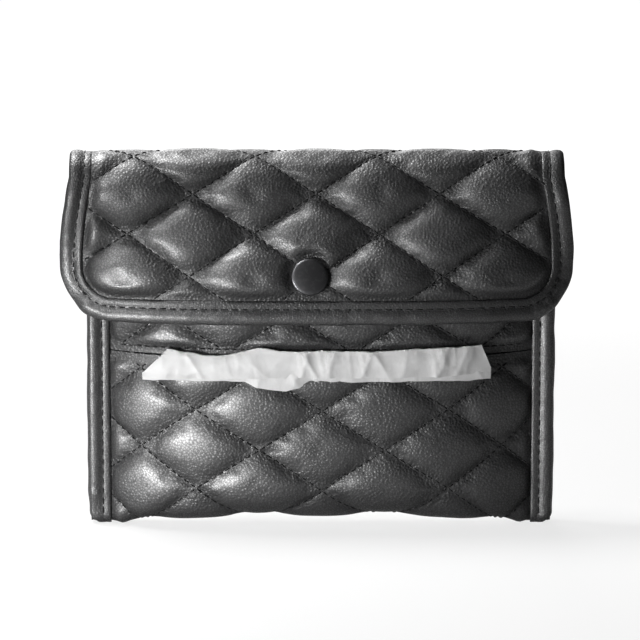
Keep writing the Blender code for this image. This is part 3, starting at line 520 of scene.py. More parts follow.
def closed(outer, inner, faces):
    """Points and faces of a shell between two skins, with its rim closed."""
    count = len(outer)
    edges = {}
    for face in faces:
        for first, second in zip(face, face[1:] + face[:1]):
            edges[first, second] = True
    rim = [(b, a, a + count, b + count) for a, b in edges if (b, a) not in edges]
    back = [tuple(i + count for i in reversed(face)) for face in faces]
    return np.concatenate([outer, inner]), [tuple(face) for face in faces] + back + rim


def tube(rings):
    """Faces round rings of points, from the first ring to the last, with both ends closed."""
    count, around = rings.shape[:2]
    faces = []
    for i in range(count - 1):
        for j in range(around):
            k = (j + 1) % around
            faces.append((i * around + j, (i + 1) * around + j, (i + 1) * around + k, i * around + k))
    faces.append(tuple(range(around)))
    faces.append(tuple(reversed(range((count - 1) * around, count * around))))
    return faces


def outwards(made):
    """Recalculates a closed piece's normals."""
    shape = bmesh.new()
    shape.from_mesh(made.data)
    bmesh.ops.recalc_face_normals(shape, faces=shape.faces)
    shape.to_mesh(made.data)
    shape.free()


def grid_faces(rows, columns):
    faces = []
    for i in range(rows - 1):
        for j in range(columns - 1):
            k = i * columns + j
            faces.append([k, k + 1, k + columns + 1, k + columns])
    return faces


def feed(tree, socket, value):
    """Links a value to an input, or sets it there."""
    if isinstance(value, bpy.types.NodeSocket):
        tree.links.new(value, socket)
    elif socket.type == "RGBA" and len(value) == 3:
        socket.default_value = (*value, 1.0)
    else:
        socket.default_value = value


def add(tree, kind, sockets=None, **settings):
    """Adds a node with its settings, and links or sets its inputs."""
    made = tree.nodes.new(kind)
    for name, value in settings.items():
        setattr(made, name, value)
    for name, value in (sockets or {}).items():
        feed(tree, made.inputs[name], value)
    return made


def count_up(tree, operation, *values):
    """A Math node's result."""
    made = add(tree, "ShaderNodeMath", operation=operation)
    for socket, value in zip(made.inputs, values):
        feed(tree, socket, value)
    return made.outputs[0]


def times(tree, *values):
    return count_up(tree, "MULTIPLY", *values)


def plus(tree, *values):
    return count_up(tree, "ADD", *values)


def spread(tree, value, low, high, new_low=0.0, new_high=1.0):
    """A value moved smoothly from one range to another."""
    ranges = {"Value": value, "From Min": low, "From Max": high, "To Min": new_low, "To Max": new_high}
    return add(tree, "ShaderNodeMapRange", ranges, interpolation_type="SMOOTHSTEP").outputs["Result"]


def blend_colours(tree, share, low, high):
    """A colour between two, by a share."""
    made = add(tree, "ShaderNodeMix", data_type="RGBA")
    for socket, value in ((made.inputs["Factor"], share), (made.inputs[6], low), (made.inputs[7], high)):
        feed(tree, socket, value)
    return made.outputs[2]


def noise(tree, place, scale, detail=2.0, **more):
    """A noise texture's value."""
    sockets = {"Vector": place, "Scale": scale, "Detail": detail, **more}
    return add(tree, "ShaderNodeTexNoise", sockets).outputs["Fac"]


def object_place(tree):
    return tree.nodes.new("ShaderNodeTexCoord").outputs["Object"]


def surface_place(tree):
    return add(tree, "ShaderNodeUVMap", uv_map="surface").outputs["UV"]


def split(tree, place):
    return add(tree, "ShaderNodeSeparateXYZ", {"Vector": place}).outputs


def stretched(tree, place, scale):
    return add(tree, "ShaderNodeMapping", {"Vector": place, "Scale": scale}).outputs["Vector"]


def group_of(name, inputs, outputs):
    """An empty shader node group with its sockets, and its input and output nodes."""
    tree = bpy.data.node_groups.new(name, "ShaderNodeTree")
    for label, value in inputs.items():
        kind = "NodeSocketVector" if value is None else "NodeSocketFloat"
        socket = tree.interface.new_socket(name=label, in_out="INPUT", socket_type=kind)
        if value is not None:
            socket.default_value = value
    for label in outputs:
        tree.interface.new_socket(name=label, in_out="OUTPUT", socket_type="NodeSocketFloat")
    return tree, tree.nodes.new("NodeGroupInput").outputs, tree.nodes.new("NodeGroupOutput").inputs


def grain_group(name):
    """Pebbled grain: domed pebbles of uneven size with creases between them."""
    tree, given, result = group_of(
        name, {"Place": None, "Pebble": 0.0008, "Unevenness": 0.6}, ("Height", "Crease")
    )
    scale = count_up(tree, "DIVIDE", 1.0, given["Pebble"])
    pebbles = {"Vector": given["Place"], "Scale": scale, "Randomness": 0.95}
    cells = add(tree, "ShaderNodeTexVoronoi", {**pebbles, "Smoothness": 0.35}, feature="SMOOTH_F1")
    lines = add(tree, "ShaderNodeTexVoronoi", pebbles, feature="DISTANCE_TO_EDGE")
    broad = noise(tree, given["Place"], times(tree, scale, 0.13))
    dome = spread(tree, cells.outputs["Distance"], 0.1, 0.75, 1.0, 0.0)
    depth = times(tree, given["Unevenness"], broad)
    feed(tree, result["Height"], times(tree, dome, plus(tree, depth, 0.4)))
    feed(tree, result["Crease"], spread(tree, lines.outputs["Distance"], 0.02, 0.2, 1.0, 0.0))
    return tree


def wear_group(name):
    """Uneven handling marks: broad smears and small scuffs, more where a piece stands proud."""
    tree, given, result = group_of(name, {"Place": None, "Proud": 0.5, "Amount": 0.5}, ("Worn", "Smear"))
    smear = noise(tree, given["Place"], 38.0, 3.0)
    broken = spread(tree, noise(tree, given["Place"], 520.0, Roughness=0.7), 0.45, 0.7)
    feed(tree, result["Worn"], times(tree, broken, times(tree, given["Proud"], given["Amount"])))
    feed(tree, result["Smear"], spread(tree, smear, 0.3, 0.7))
    return tree


def weave_group(name):
    """Plain weave: warp and weft threads that pass over and under each other."""
    tree, given, result = group_of(name, {"Place": None, "Thread": 0.0005}, ("Height", "Warp"))
    parts = split(tree, given["Place"])
    turns = []
    for part in (parts["X"], parts["Y"]):
        along = count_up(tree, "DIVIDE", times(tree, part, math.pi), given["Thread"])
        turns.append(count_up(tree, "SINE", along))
    warp, weft = (count_up(tree, "ABSOLUTE", turn) for turn in turns)
    higher = spread(tree, times(tree, *turns), -0.25, 0.25)
    lower = count_up(tree, "SUBTRACT", 1.0, higher)
    feed(tree, result["Height"], plus(tree, times(tree, warp, higher), times(tree, weft, lower)))
    feed(tree, result["Warp"], higher)
    return tree


def use_group(tree, build, name, sockets):
    """A shared node group, made when a material first asks for it."""
    group = bpy.data.node_groups.get(name) or build(name)
    return add(tree, "ShaderNodeGroup", sockets, node_tree=group).outputs


def grain(tree, place, pebble):
    return use_group(tree, grain_group, "pebble grain", {"Place": place, "Pebble": pebble, "Unevenness": 0.7})


def handled(tree, place, proud, amount):
    return use_group(tree, wear_group, "handling wear", {"Place": place, "Proud": proud, "Amount": amount})


def weave(tree, place, thread):
    return use_group(tree, weave_group, "plain weave", {"Place": place, "Thread": thread})


def new_material(name, **values):
    """A material with its Principled shader set to plain values."""
    made = bpy.data.materials.new(name)
    made.use_nodes = True
    shader = made.node_tree.nodes["Principled BSDF"]
    drive(made.node_tree, shader, **values)
    return made, made.node_tree, shader


def drive(tree, shader, **values):
    """Feeds a shader's inputs."""
    for label, value in values.items():
        feed(tree, shader.inputs[label.replace("_", " ")], value)


def raise_up(tree, shader, height, distance, strength=0.8):
    """Raises a shader's surface by a height."""
    bump = add(tree, "ShaderNodeBump", {"Height": height, "Distance": distance, "Strength": strength})
    feed(tree, shader.inputs["Normal"], bump.outputs["Normal"])


def leather(name, pebble, depth, dull):
    """Black coated leather: pebbled, rubbed on its crowns and duller in its seams."""
    made, tree, shader = new_material(name, Coat_Roughness=0.4, Coat_IOR=1.9, Specular_IOR_Level=1.0)
    place = object_place(tree)
    proud = add(tree, "ShaderNodeAttribute", attribute_name="proud").outputs["Fac"]
    pebbles = grain(tree, place, pebble)
    crease = pebbles["Crease"]
    wear = handled(tree, place, proud, 0.6)
    colour = blend_colours(tree, wear["Worn"], colours().leather[:], colours().worn[:])
    dark = blend_colours(tree, times(tree, crease, 0.5), colour, (0.008, 0.008, 0.009))
    rough = plus(tree, plus(tree, dull, times(tree, wear["Smear"], 0.07)), times(tree, crease, 0.25))
    gloss = plus(tree, times(tree, crease, -0.6), 1.0)
    gloss = times(tree, spread(tree, proud, 0.0, 0.7, 0.35, 1.0), gloss)
    drive(tree, shader, Base_Color=dark, Roughness=rough, Coat_Weight=gloss)
    raise_up(tree, shader, pebbles["Height"], depth, 1.0)
    return made


def thread_material():
    """Twisted sewing thread, with painted shade in the grooves of its twist."""
    made, tree, shader = new_material("thread", Roughness=0.6, Sheen_Weight=0.1)
    parts = split(tree, surface_place(tree))
    twist = plus(tree, times(tree, parts["X"], 12.0), parts["Y"])
    strand = count_up(tree, "ABSOLUTE", count_up(tree, "SINE", times(tree, twist, math.pi)))
    # Painted shade: the thread is darker in the grooves between its twisted strands, where the bump lies low.
    drive(tree, shader, Base_Color=blend_colours(tree, strand, (0.002, 0.002, 0.002), colours().thread[:]))
    raise_up(tree, shader, strand, 0.00008)
    return made


def cloth_material():
    """Thin woven lining, with painted shade between its threads."""
    made, tree, shader = new_material("lining cloth", Roughness=0.8, Sheen_Weight=0.25, Sheen_Roughness=0.4)
    place = surface_place(tree)
    woven = weave(tree, place, 0.00055)["Height"]
    # Painted shade: the cloth is darker where the weave's threads lie low.
    dark = blend_colours(tree, woven, (0.012, 0.012, 0.013), colours().cloth[:])
    faded = tuple(1.35 * part for part in colours().cloth)
    smear = spread(tree, noise(tree, place, 60.0, 3.0), 0.4, 0.75, 0.0, 0.5)
    drive(tree, shader, Base_Color=blend_colours(tree, smear, dark, faded))
    raise_up(tree, shader, woven, 0.0001)
    return made


def elastic_material():
    """Ribbed elastic webbing, its cords along the band, with painted shade in the grooves between them."""
    made, tree, shader = new_material("elastic", Roughness=0.75, Sheen_Weight=0.2, Sheen_Roughness=0.35)
    place = surface_place(tree)
    ribs = times(tree, split(tree, place)["X"], math.pi / 0.0014)
    cords = count_up(tree, "ABSOLUTE", count_up(tree, "SINE", ribs))
    height = plus(tree, cords, times(tree, weave(tree, place, 0.0006)["Height"], 0.5))
    # Painted shade: the webbing is darker where its cords and weave lie low.
    colour = blend_colours(tree, spread(tree, height, 0.2, 1.3), (0.006, 0.006, 0.006), colours().elastic[:])
    drive(tree, shader, Base_Color=colour)
    raise_up(tree, shader, height, 0.00018)
    return made


def metal_material(name, colour, rough, streak):
    """Plated metal, brushed a little round its axis, with fine handling marks."""
    made, tree, shader = new_material(name, Metallic=1.0)
    place = object_place(tree)
    fine = noise(tree, stretched(tree, place, (1.0, 1.0, 7.0)), 2600.0, 3.0)
    wear = handled(tree, place, 1.0, 0.7)
    worn = tuple(min(1.0, 1.7 * part) for part in colour)
    tone = blend_colours(tree, times(tree, wear["Worn"], 0.5), tuple(colour), worn)
    scatter = spread(tree, fine, 0.3, 0.7, rough - streak, rough + streak)
    smeared = plus(tree, scatter, times(tree, wear["Smear"], 0.06))
    drive(tree, shader, Base_Color=tone, Roughness=smeared)
    raise_up(tree, shader, fine, 0.00001, 0.5)
    return made


def paper_material():
    """Soft tissue with a fine crepe, a little see-through, with painted shade in the hollows of its crinkles.
    """
    made, tree, shader = new_material(
        "tissue", Roughness=0.9, Subsurface_Weight=0.15, Subsurface_Scale=0.002, Subsurface_Radius=(1, 1, 1)
    )
    place = surface_place(tree)
    fine = noise(tree, stretched(tree, place, (900.0, 260.0, 1.0)), 1.0, 3.0)
    broad = noise(tree, place, 70.0, 4.0, Distortion=0.6)
    # Painted shade: a tone 0.86 as bright as the paper, laid where the broad crinkle noise that also raises
    # the bump lies low.
    painted_crinkle_shade = tuple(0.86 * part for part in colours().paper)
    colour = blend_colours(tree, spread(tree, broad, 0.3, 0.7), painted_crinkle_shade, colours().paper[:])
    drive(tree, shader, Base_Color=colour)
    raise_up(tree, shader, plus(tree, times(tree, fine, 0.15), broad), 0.0006, 0.6)
    return made


FINISHES = {
    "quilted leather": lambda name: leather(name, 0.00115, 0.00024, 0.43),
    "binding leather": lambda name: leather(name, 0.0009, 0.00018, 0.4),
    "thread": lambda name: thread_material(),
    "lining cloth": lambda name: cloth_material(),
    "elastic": lambda name: elastic_material(),
    "gunmetal": lambda name: metal_material(name, colours().cap[:], 0.36, 0.05),
    "nickel": lambda name: metal_material(name, colours().nickel[:], 0.25, 0.08),
    "tissue": lambda name: paper_material(),
}


def finish(name):
    """The named material, made when a piece first asks for it."""
    return bpy.data.materials.get(name) or FINISHES[name](name)


# Quilting


class Panel(namedtuple("Panel", "surface side pattern unpattern crossing cuts reach")):
    """A quilted panel: its cut, its surface and the quilting's own flat coordinates."""

    def seams(self, a, b):
        """Seam coordinates: whole numbers of the first and second lie on the two seam families."""
        x, y = self.pattern(a, b)
        slant = (x - self.crossing[0]) / sizes().diamond_width
        fall = (y - self.crossing[1]) / sizes().diamond_height
        return slant + fall, slant - fall

    def place(self, first, second):
        """The cut's coordinates at seam coordinates."""
        x = self.crossing[0] + sizes().diamond_width * (first + second) / 2
        y = self.crossing[1] + sizes().diamond_height * (first - second) / 2
        return self.unpattern(x, y)

    def seam_ranges(self):
        """The first and the last seam of each family that reach the panel."""
        (a0, a1), (b0, b1) = self.reach
        a, b = np.meshgrid(np.linspace(a0, a1, GRID), np.linspace(b0, b1, GRID))
        return [(math.floor(places.min()), math.ceil(places.max())) for places in self.seams(a, b)]

    def outs(self, a, b):
        return normals(self.surface, a, b, self.side)

    def lifted(self, a, b, height):
        return self.surface(a, b) + np.asarray(height)[..., None] * self.outs(a, b)


def depth_inside(cuts, a, b):
    """How far inside the lines of a cut places lie, at least."""
    return np.min([(point[0] - a) * out[0] + (point[1] - b) * out[1] for point, out in cuts], axis=0)


def bisect(shape, place, out, near=1e-6, clear=False):
    """Cuts a mesh along a plane, and clears what lies past it if asked to."""
    parts = [*shape.verts, *shape.edges, *shape.faces]
    bmesh.ops.bisect_plane(shape, geom=parts, dist=near, plane_co=place, plane_no=out, clear_outer=clear)


def flat_cells(panel):
    """The panel's mesh in its cut coordinates, with lines along the seams, trimmed to the cut."""
    steps = np.arange(sizes().cells) / sizes().cells
    shares = 0.6 * steps + 0.2 * (1 - np.cos(np.pi * steps))
    lines = []
    for first, last in panel.seam_ranges():
        lines.append(np.concatenate([n + shares for n in range(first, last)] + [[last]]))
    a, b = panel.place(*np.meshgrid(*lines, indexing="ij"))
    (a0, a1), (b0, b1) = panel.reach
    near = (a > a0 - CUT_MARGIN) & (a < a1 + CUT_MARGIN) & (b > b0 - CUT_MARGIN) & (b < b1 + CUT_MARGIN)
    index = -np.ones(a.shape, dtype=int)
    index[near] = np.arange(near.sum())
    ring = [index[:-1, :-1], index[1:, :-1], index[1:, 1:], index[:-1, 1:]]
    faces = np.stack(ring, axis=-1)[np.min(ring, axis=0) >= 0].tolist()
    mesh = bpy.data.meshes.new("cells")
    mesh.from_pydata(np.stack([a[near], b[near], np.zeros(near.sum())], axis=-1).tolist(), [], faces)
    shape = bmesh.new()
    shape.from_mesh(mesh)
    bpy.data.meshes.remove(mesh)
    for (x, y), (out_x, out_y) in panel.cuts:
        bisect(shape, (x, y, 0), (out_x, out_y, 0), 1e-7, True)
    loose = [corner for corner in shape.verts if not corner.link_faces]
    bmesh.ops.delete(shape, geom=loose, context="VERTS")
    shape.verts.index_update()
    places = np.array([corner.co[:2] for corner in shape.verts])
    faces = [[corner.index for corner in face.verts] for face in shape.faces]
    shape.free()
    return places[:, 0], places[:, 1], faces


def pillow(first, second):
    """0 on a seam and 1 in the middle of a diamond."""
    rows = np.abs(np.sin(np.pi * first)) * np.abs(np.sin(np.pi * second))
    return 1 - (1 - rows) ** PILLOW_POWER


def puckers(first, second, seed):
    """Small gathers that run away from each seam, in metres of height."""
    total = np.zeros_like(first)
    for across_seam, along, line in ((first, second, 1), (second, first, 2)):
        number = np.round(across_seam)
        away = np.abs(across_seam - number) * SEAM_SPACING
        for reach, start, often, shift, turn, height, more in GATHERS:
            fade = np.exp(-((away / reach) ** 2)) * (1 - np.exp(-((away / start) ** 2)))
            gather = value_noise(along * often + number * shift, number * turn + line, seed + more)
            total += fade * gather * height
    return total


def settled_cloth(points, faces, held):
    """Leather a little larger than its place, puffed and settled as cloth that its seams hold."""
    mesh = bpy.data.meshes.new("settling")
    mesh.from_pydata(points.tolist(), [], faces)
    made = bpy.data.objects.new("settling", mesh)
    scene = bpy.context.scene
    scene.collection.objects.link(made)
    made.vertex_groups.new(name="held").add(np.nonzero(held)[0].tolist(), 1.0, "REPLACE")
    cloth = made.modifiers.new("cloth", "CLOTH")
    cloth.settings.quality = CLOTH_QUALITY
    cloth.settings.vertex_group_mass = "held"
    cloth.settings.bending_stiffness = CLOTH_BENDING
    cloth.settings.shrink_min = -CLOTH_EXCESS_SHARE
    cloth.settings.use_pressure = True
    cloth.settings.uniform_pressure_force = CLOTH_PRESSURE
    cloth.settings.effector_weights.gravity = 0
    cloth.collision_settings.use_collision = False
    for step in range(1, CLOTH_STEPS + 1):
        scene.frame_set(step)
    bpy.context.view_layer.update()
    result = made.evaluated_get(bpy.context.evaluated_depsgraph_get())
    places = np.empty(3 * len(points), dtype=np.float32)
    result.data.vertices.foreach_get("co", places)
    bpy.data.objects.remove(made)
    bpy.data.meshes.remove(mesh)
    scene.frame_set(1)
    moved = places.reshape(-1, 3) - points
    far = np.linalg.norm(moved, axis=-1, keepdims=True)
    return points + moved * np.minimum(1, CLOTH_CAP / np.maximum(far, 1e-9))


def two_sided(name, material, panel, places, faces, skins, uv):
    """A piece of two skins over a panel, its faces outwards."""
    outer, inner = (skin.reshape(-1, 3) for skin in skins)
    one, two, three = faces[0][:3]
    side = np.cross(outer[two] - outer[one], outer[three] - outer[two])
    if np.dot(side, panel.outs(*places).reshape(-1, 3)[one]) < 0:
        faces = [face[::-1] for face in faces]
    points, rings = closed(outer, inner, faces)
    uv = np.stack([part.ravel() for part in uv], axis=-1)
    return piece_from(name, points, rings, finish(material), np.concatenate([uv, uv]))


def quilted(name, panel, puff, fade, seed):
    """The padded piece of a panel. puff and fade give its height and where it lies flat."""
    a, b, faces = flat_cells(panel)
    first, second = panel.seams(a, b)
    crest, share = pillow(first, second), fade(a, b)
    uneven = 1 + UNEVEN * value_noise(np.floor(first) * 1.7, np.floor(second) * 2.3, seed + 9)
    height = QUILT_BASE + puff(a, b) * share * crest * uneven
    outer = panel.lifted(a, b, height + share * puckers(first, second, seed))
    inner = panel.lifted(a, b, QUILT_UNDER)
    outer = settled_cloth(outer, faces, (crest < CLOTH_HELD_CREST) | (share < CLOTH_HELD_SHARE))
    skins = (outer, inner)
    made = two_sided(name, "quilted leather", panel, (a, b), faces, skins, (first, second))
    proud = smooth(crest * share)
    attribute(made, "proud", np.concatenate([proud, proud]))
    return made


def threads(name, starts, ends, outs, lift, sink):
    """One object of short stitches between pairs of points, their ends drawn into the leather."""
    radius = sizes().thread
    along = ends - starts
    along = along / np.linalg.norm(along, axis=-1, keepdims=True)
    beside = np.cross(outs, along)
    turns = np.arange(THREAD_SIDES) * 2 * np.pi / THREAD_SIDES
    rings = []
    for share, thick in THREAD_RINGS:
        drop = lift - (lift + sink) * (2 * abs(share)) ** 3
        middle = (starts + ends) / 2 + share * (ends - starts) + drop * outs
        ring = [middle + radius * thick * (math.cos(turn) * beside + math.sin(turn) * outs) for turn in turns]
        rings.append(np.stack(ring, axis=1))
    points = np.stack(rings, axis=1)
    count = len(starts)
    one = tube(np.zeros((len(THREAD_RINGS), THREAD_SIDES, 3)))
    size = len(THREAD_RINGS) * THREAD_SIDES
    faces = [tuple(i + k * size for i in face) for k in range(count) for face in one]
    uv = np.empty((count, len(THREAD_RINGS), THREAD_SIDES, 2))
    uv[..., 0] = np.array([share for share, _ in THREAD_RINGS])[:, None]
    uv[..., 1] = np.arange(THREAD_SIDES) / THREAD_SIDES
    made = piece_from(name, points.reshape(-1, 3), faces, finish("thread"), uv.reshape(-1, 2), 180)
    outwards(made)
    return made


def seam_stitches(panel, keep):
    """Ends and outward directions of the stitches along both seam families of a panel."""
    ranges = panel.seam_ranges()
    count = round(SEAM_LENGTH / sizes().stitch_pitch)
    half = SEAM_STITCH_SHARE / 2 / count
    firsts, seconds, steps = [], [], []
    for family in (0, 1):
        for line in range(ranges[family][0], ranges[family][1] + 1):
            low, high = ranges[1 - family]
            along = low + (np.arange((high - low) * count) + 0.5) / count
            lines = np.full_like(along, line)
            firsts.append(lines if family == 0 else along)
            seconds.append(along if family == 0 else lines)
            steps.append(np.stack([np.full_like(along, half * share) for share in (family, 1 - family)]))
    first, second = np.concatenate(firsts), np.concatenate(seconds)
    step = np.concatenate(steps, axis=1)
    a, b = panel.place(first, second)
    good = (depth_inside(panel.cuts, a, b) > 0) & keep(a, b)
    first, second, step = first[good], second[good], step[:, good]
    starts, ends = (
        panel.lifted(*panel.place(first + sign * step[0], second + sign * step[1]), QUILT_BASE)
        for sign in (-1, 1)
    )
    outs = panel.outs(*panel.place(first, second))
    whole = np.linalg.norm(ends - starts, axis=-1) < LONGEST_STITCH * sizes().stitch_pitch
    return starts[whole], ends[whole], outs[whole]


def hem_stitches(panel, row):
    """The row of stitches that holds a turned hem beside the slit."""
    reach = SLIT_HALF_LENGTH + HEM_PAST
    count = round(2 * reach / sizes().stitch_pitch)
    a = reach * (2 * (np.arange(count) + 0.5) / count - 1)
    half = SEAM_STITCH_SHARE / 2 * sizes().stitch_pitch
    b = np.full_like(a, row)
    starts, ends = (panel.lifted(a + shift, b, QUILT_BASE) for shift in (-half, half))
    return starts, ends, panel.outs(a, b)


def quilt_threads(name, stitches, into=None):
    settle(threads(name, *stitches, *QUILT_THREAD), "pouch", "quilted_leather", (), into)


def near_strips(x, z):
    """1 where the strips over the band ends are sewn down flat, 0 away from them."""
    found = np.zeros_like(x)
    for middle in (LOWER_STRIP_Z, UPPER_STRIP_Z):
        beside = np.maximum(np.abs(x) - STRIP_LENGTH / 2, np.abs(z - middle) - STRIP_HEIGHT / 2)
        found = np.maximum(found, 1 - smooth((beside - STRIP_SEAT_MARGIN) / STRIP_SEAT_FADE))
    return found


def box_panel(surface, side, pattern, unpattern, crossing, start, end):
    """A panel as wide as the body, from one height or stage of its cut to another."""
    cuts = [((-BODY_HALF, 0), (-1, 0)), ((BODY_HALF, 0), (1, 0)), ((0, start), (0, -1)), ((0, end), (0, 1))]
    reach = ((-BODY_HALF, BODY_HALF), (start, end))
    return Panel(surface, side, pattern, unpattern, crossing, cuts, reach)


def wrap_panel():
    def surface(a, b):
        return wrap_point(a, b / WRAP_SCALE)

    def pattern(a, b):
        return wrap_pattern(a, b / WRAP_SCALE)

    def unpattern(x, y):
        u, stage = wrap_unpattern(x, y)
        return u, stage * WRAP_SCALE

    crossing = (WRAP_CROSSING_X, WRAP_CROSSING_DEPTH)
    return box_panel(surface, -1, pattern, unpattern, crossing, 0, 3 * WRAP_SCALE)


def upper_panel():
    def pattern(u, z):
        return drawn_in(u), z

    def unpattern(x, z):
        return drawn_out(x), z

    crossing = (UPPER_CROSSING_X, SLIT_Z + UPPER_CROSSING_RISE)
    return box_panel(upper_point, 1, pattern, unpattern, crossing, SLIT_Z, MOUTH_Z - EDGE_INSET)


def cover_point(u, drop):
    """The flap, and above it, with drops below nothing, the fold up to the back."""
    drop = np.asarray(drop, float)
    hanging = np.maximum(drop, 0)
    z = FOLD_Z - hanging
    x = u * flap_half(hanging) / FLAP_HALF - FLAP_LEAN
    flap = at(x, flap_y(u, z), z)
    angle = -np.minimum(drop, 0) / FOLD_ARC
    half = FOLD_DEPTH / 2
    fold = at(x, BACK_Y - half - half * np.cos(angle), FOLD_Z + half * np.sin(angle))
    return np.where((drop >= 0)[..., None], flap, fold)


def flap_outline():
    """The flap's edge inside its binding, from its top left round to its top right."""
    middle = FLAP_HALF - FLAP_CORNER_RADIUS
    start = FLAP_DROP - FLAP_CORNER_RADIUS
    left = []
    for turn in np.linspace(0, math.pi / 2, FLAP_CORNER_STEPS + 1):
        u = -middle - FLAP_CORNER_RADIUS * math.cos(turn)
        left.append((u, start + FLAP_CORNER_RADIUS * math.sin(turn)))
    return [(-FLAP_HALF, 0.0)] + left + [(-u, drop) for u, drop in reversed(left)] + [(FLAP_HALF, 0.0)]


def flap_cuts():
    """Lines round the flap's cut, and last the one along the fold's upper end."""
    outline = flap_outline()
    lines = []
    for (x0, y0), (x1, y1) in zip(outline, outline[1:]):
        run = math.hypot(x1 - x0, y1 - y0)
        lines.append(((x0, y0), ((y0 - y1) / run, (x1 - x0) / run)))
    return lines + [((0, -math.pi * FOLD_ARC), (0, -1))]


def cover_panel():
    def pattern(u, drop):
        return u - FLAP_LEAN, drop

    def unpattern(x, drop):
        return x + FLAP_LEAN, drop

    crossing = (FLAP_CROSSING_X, SNAP_DROP)
    reach = ((-FLAP_HALF, FLAP_HALF), (-math.pi * FOLD_ARC, FLAP_DROP))
    return Panel(cover_point, -1, pattern, unpattern, crossing, flap_cuts(), reach)


class POUCH_OT_wrap(bpy.types.Operator):
    """Quilt the piece that forms the back, the bottom and the front up to the slit"""

    bl_idname = "pouch.wrap"
    bl_label = "Outer wrap"

    def execute(self, context):
        panel = wrap_panel()
        inner = CROWN_HALF - RELIEF_START

        def puff(u, b):
            front, back = sizes().front_puff, sizes().back_puff
            return front + (back - front) * smooth(b / WRAP_SCALE - 1)

        def strips(u, b):
            point = panel.surface(u, b)
            return near_strips(point[..., 0], point[..., 2] + HEIGHT / 2)

        def fade(u, b):
            share = smooth((inner - np.abs(u)) / EDGE_FADE)
            share = share * smooth((panel.pattern(u, b)[1] - HEM_STITCHES + HEM_START) / HEM)
            return share * (1 - strips(u, b) * smooth(2 * b / WRAP_SCALE - 3))

        def keep(u, b):
            hidden = (strips(u, b) > 0.9) & (b > 2 * WRAP_SCALE)
            open_wrap = (np.abs(u) < CROWN_HALF - STITCH_PAST) & (panel.pattern(u, b)[1] > SLIT_BORDER)
            return open_wrap & ~hidden

        made = quilted("wrap_quilting", panel, puff, fade, 3)
        settle(made, "pouch", "quilted_leather", ["outer_wrap"])
        quilt_threads("wrap_stitches", seam_stitches(panel, keep))
        return {"FINISHED"}


class POUCH_OT_front(bpy.types.Operator):
    """Quilt the front panel above the slit, behind the flap"""

    bl_idname = "pouch.front"
    bl_label = "Upper front panel"

    def execute(self, context):
        panel = upper_panel()
        inner = CROWN_HALF - RELIEF_START
        top = MOUTH_Z - MOUTH_BINDING_WIDTH - RELIEF_START

        def puff(u, z):
            return sizes().front_puff

        def past_seat(u, z):
            return np.hypot(u - SNAP_X, z - FOLD_Z + SNAP_DROP) - STUD_SEAT_RADIUS

        def fade(u, z):
            share = smooth((inner - np.abs(u)) / EDGE_FADE) * smooth((top - z) / EDGE_FADE)
            share = share * smooth((z - SLIT_Z - HEM_STITCHES + HEM_START) / HEM)
            return share * smooth(past_seat(u, z) / SEAT_FADE)

        def keep(u, z):
            open_front = (z > SLIT_Z + SLIT_BORDER) & (z < top) & (past_seat(u, z) > -2 * STITCH_PAST)
            return (np.abs(u) < CROWN_HALF - STITCH_PAST) & open_front

        made = quilted("upper_quilting", panel, puff, fade, 7)
        settle(made, "pouch", "quilted_leather", ["front_upper_panel"])
        rows = zip(seam_stitches(panel, keep), hem_stitches(panel, SLIT_Z + HEM_STITCHES))
        quilt_threads("upper_stitches", [np.concatenate(pair) for pair in rows])
        return {"FINISHED"}


class POUCH_OT_flap(bpy.types.Operator):
    """Quilt the flap and the fold over the top in one piece"""

    bl_idname = "pouch.flap"
    bl_label = "Flap and fold"

    def execute(self, context):
        panel = cover_panel()
        rim = BINDING_WIDTH - EDGE_INSET + NODE_GAP

        def beside(u, drop):
            return depth_inside(panel.cuts[:-1], u, drop) - rim - RELIEF_START / 2

        def puff(u, drop):
            front, back = sizes().flap_puff, FOLD_PUFF_SHARE * sizes().back_puff
            return front + (back - front) * smooth((0.006 - drop) / (0.006 + 1.2 * FOLD_ARC))

        def seat(u, drop):
            x = u * flap_half(np.maximum(drop, 0)) / FLAP_HALF - FLAP_LEAN
            return np.hypot(x - SNAP_X, drop - SNAP_DROP) - CAP_RADIUS

        def fade(u, drop):
            return smooth(beside(u, drop) / EDGE_FADE) * smooth((seat(u, drop) - 0.0003) / 0.0035)

        def keep(u, drop):
            return (beside(u, drop) > -STITCH_PAST) & (seat(u, drop) > -STITCH_PAST)

        made = quilted("flap_quilting", panel, puff, fade, 11)
        settle(made, "pouch", "quilted_leather", ["flap_panel", "top_fold_panel"], "flap")
        quilt_threads("flap_stitches", seam_stitches(panel, keep), "flap")
        return {"FINISHED"}


# Bindings


def tape_profile(low, high, width, roll):
    """Insets and heights round a rolled binding that holds what lies from low to high."""
    line = sizes().stitch_line - EDGE_INSET
    top = high + (TAPE_GAP + TAPE)
    front = [
        (width, top - 0.0007), (width - 0.0002, top - 0.0002), (width - 0.0010, top),
        (width - 0.0020, top), (line + 0.0007, top - 0.0001), (line, top - TAPE_STITCH_DIP),
        (line - 0.0007, top),
    ]
    front += [(line - past, top + roll * share) for past, share in ROLL]
    back = [(inset, low + high - height) for inset, height in reversed(front)]
    middle = (low + high) / 2
    centre, half = front[-1][0], front[-1][1] - middle
    reach = centre + EDGE_INSET
    nose = []
    for turn in np.linspace(0, math.pi, 13)[1:-1]:
        nose.append((centre - reach * math.sin(turn), middle + half * math.cos(turn)))
    under, over = low - TAPE_GAP, high + TAPE_GAP
    return np.array(front + nose + back + [(width, under), (0.0, under), (0.0, over), (width, over)])


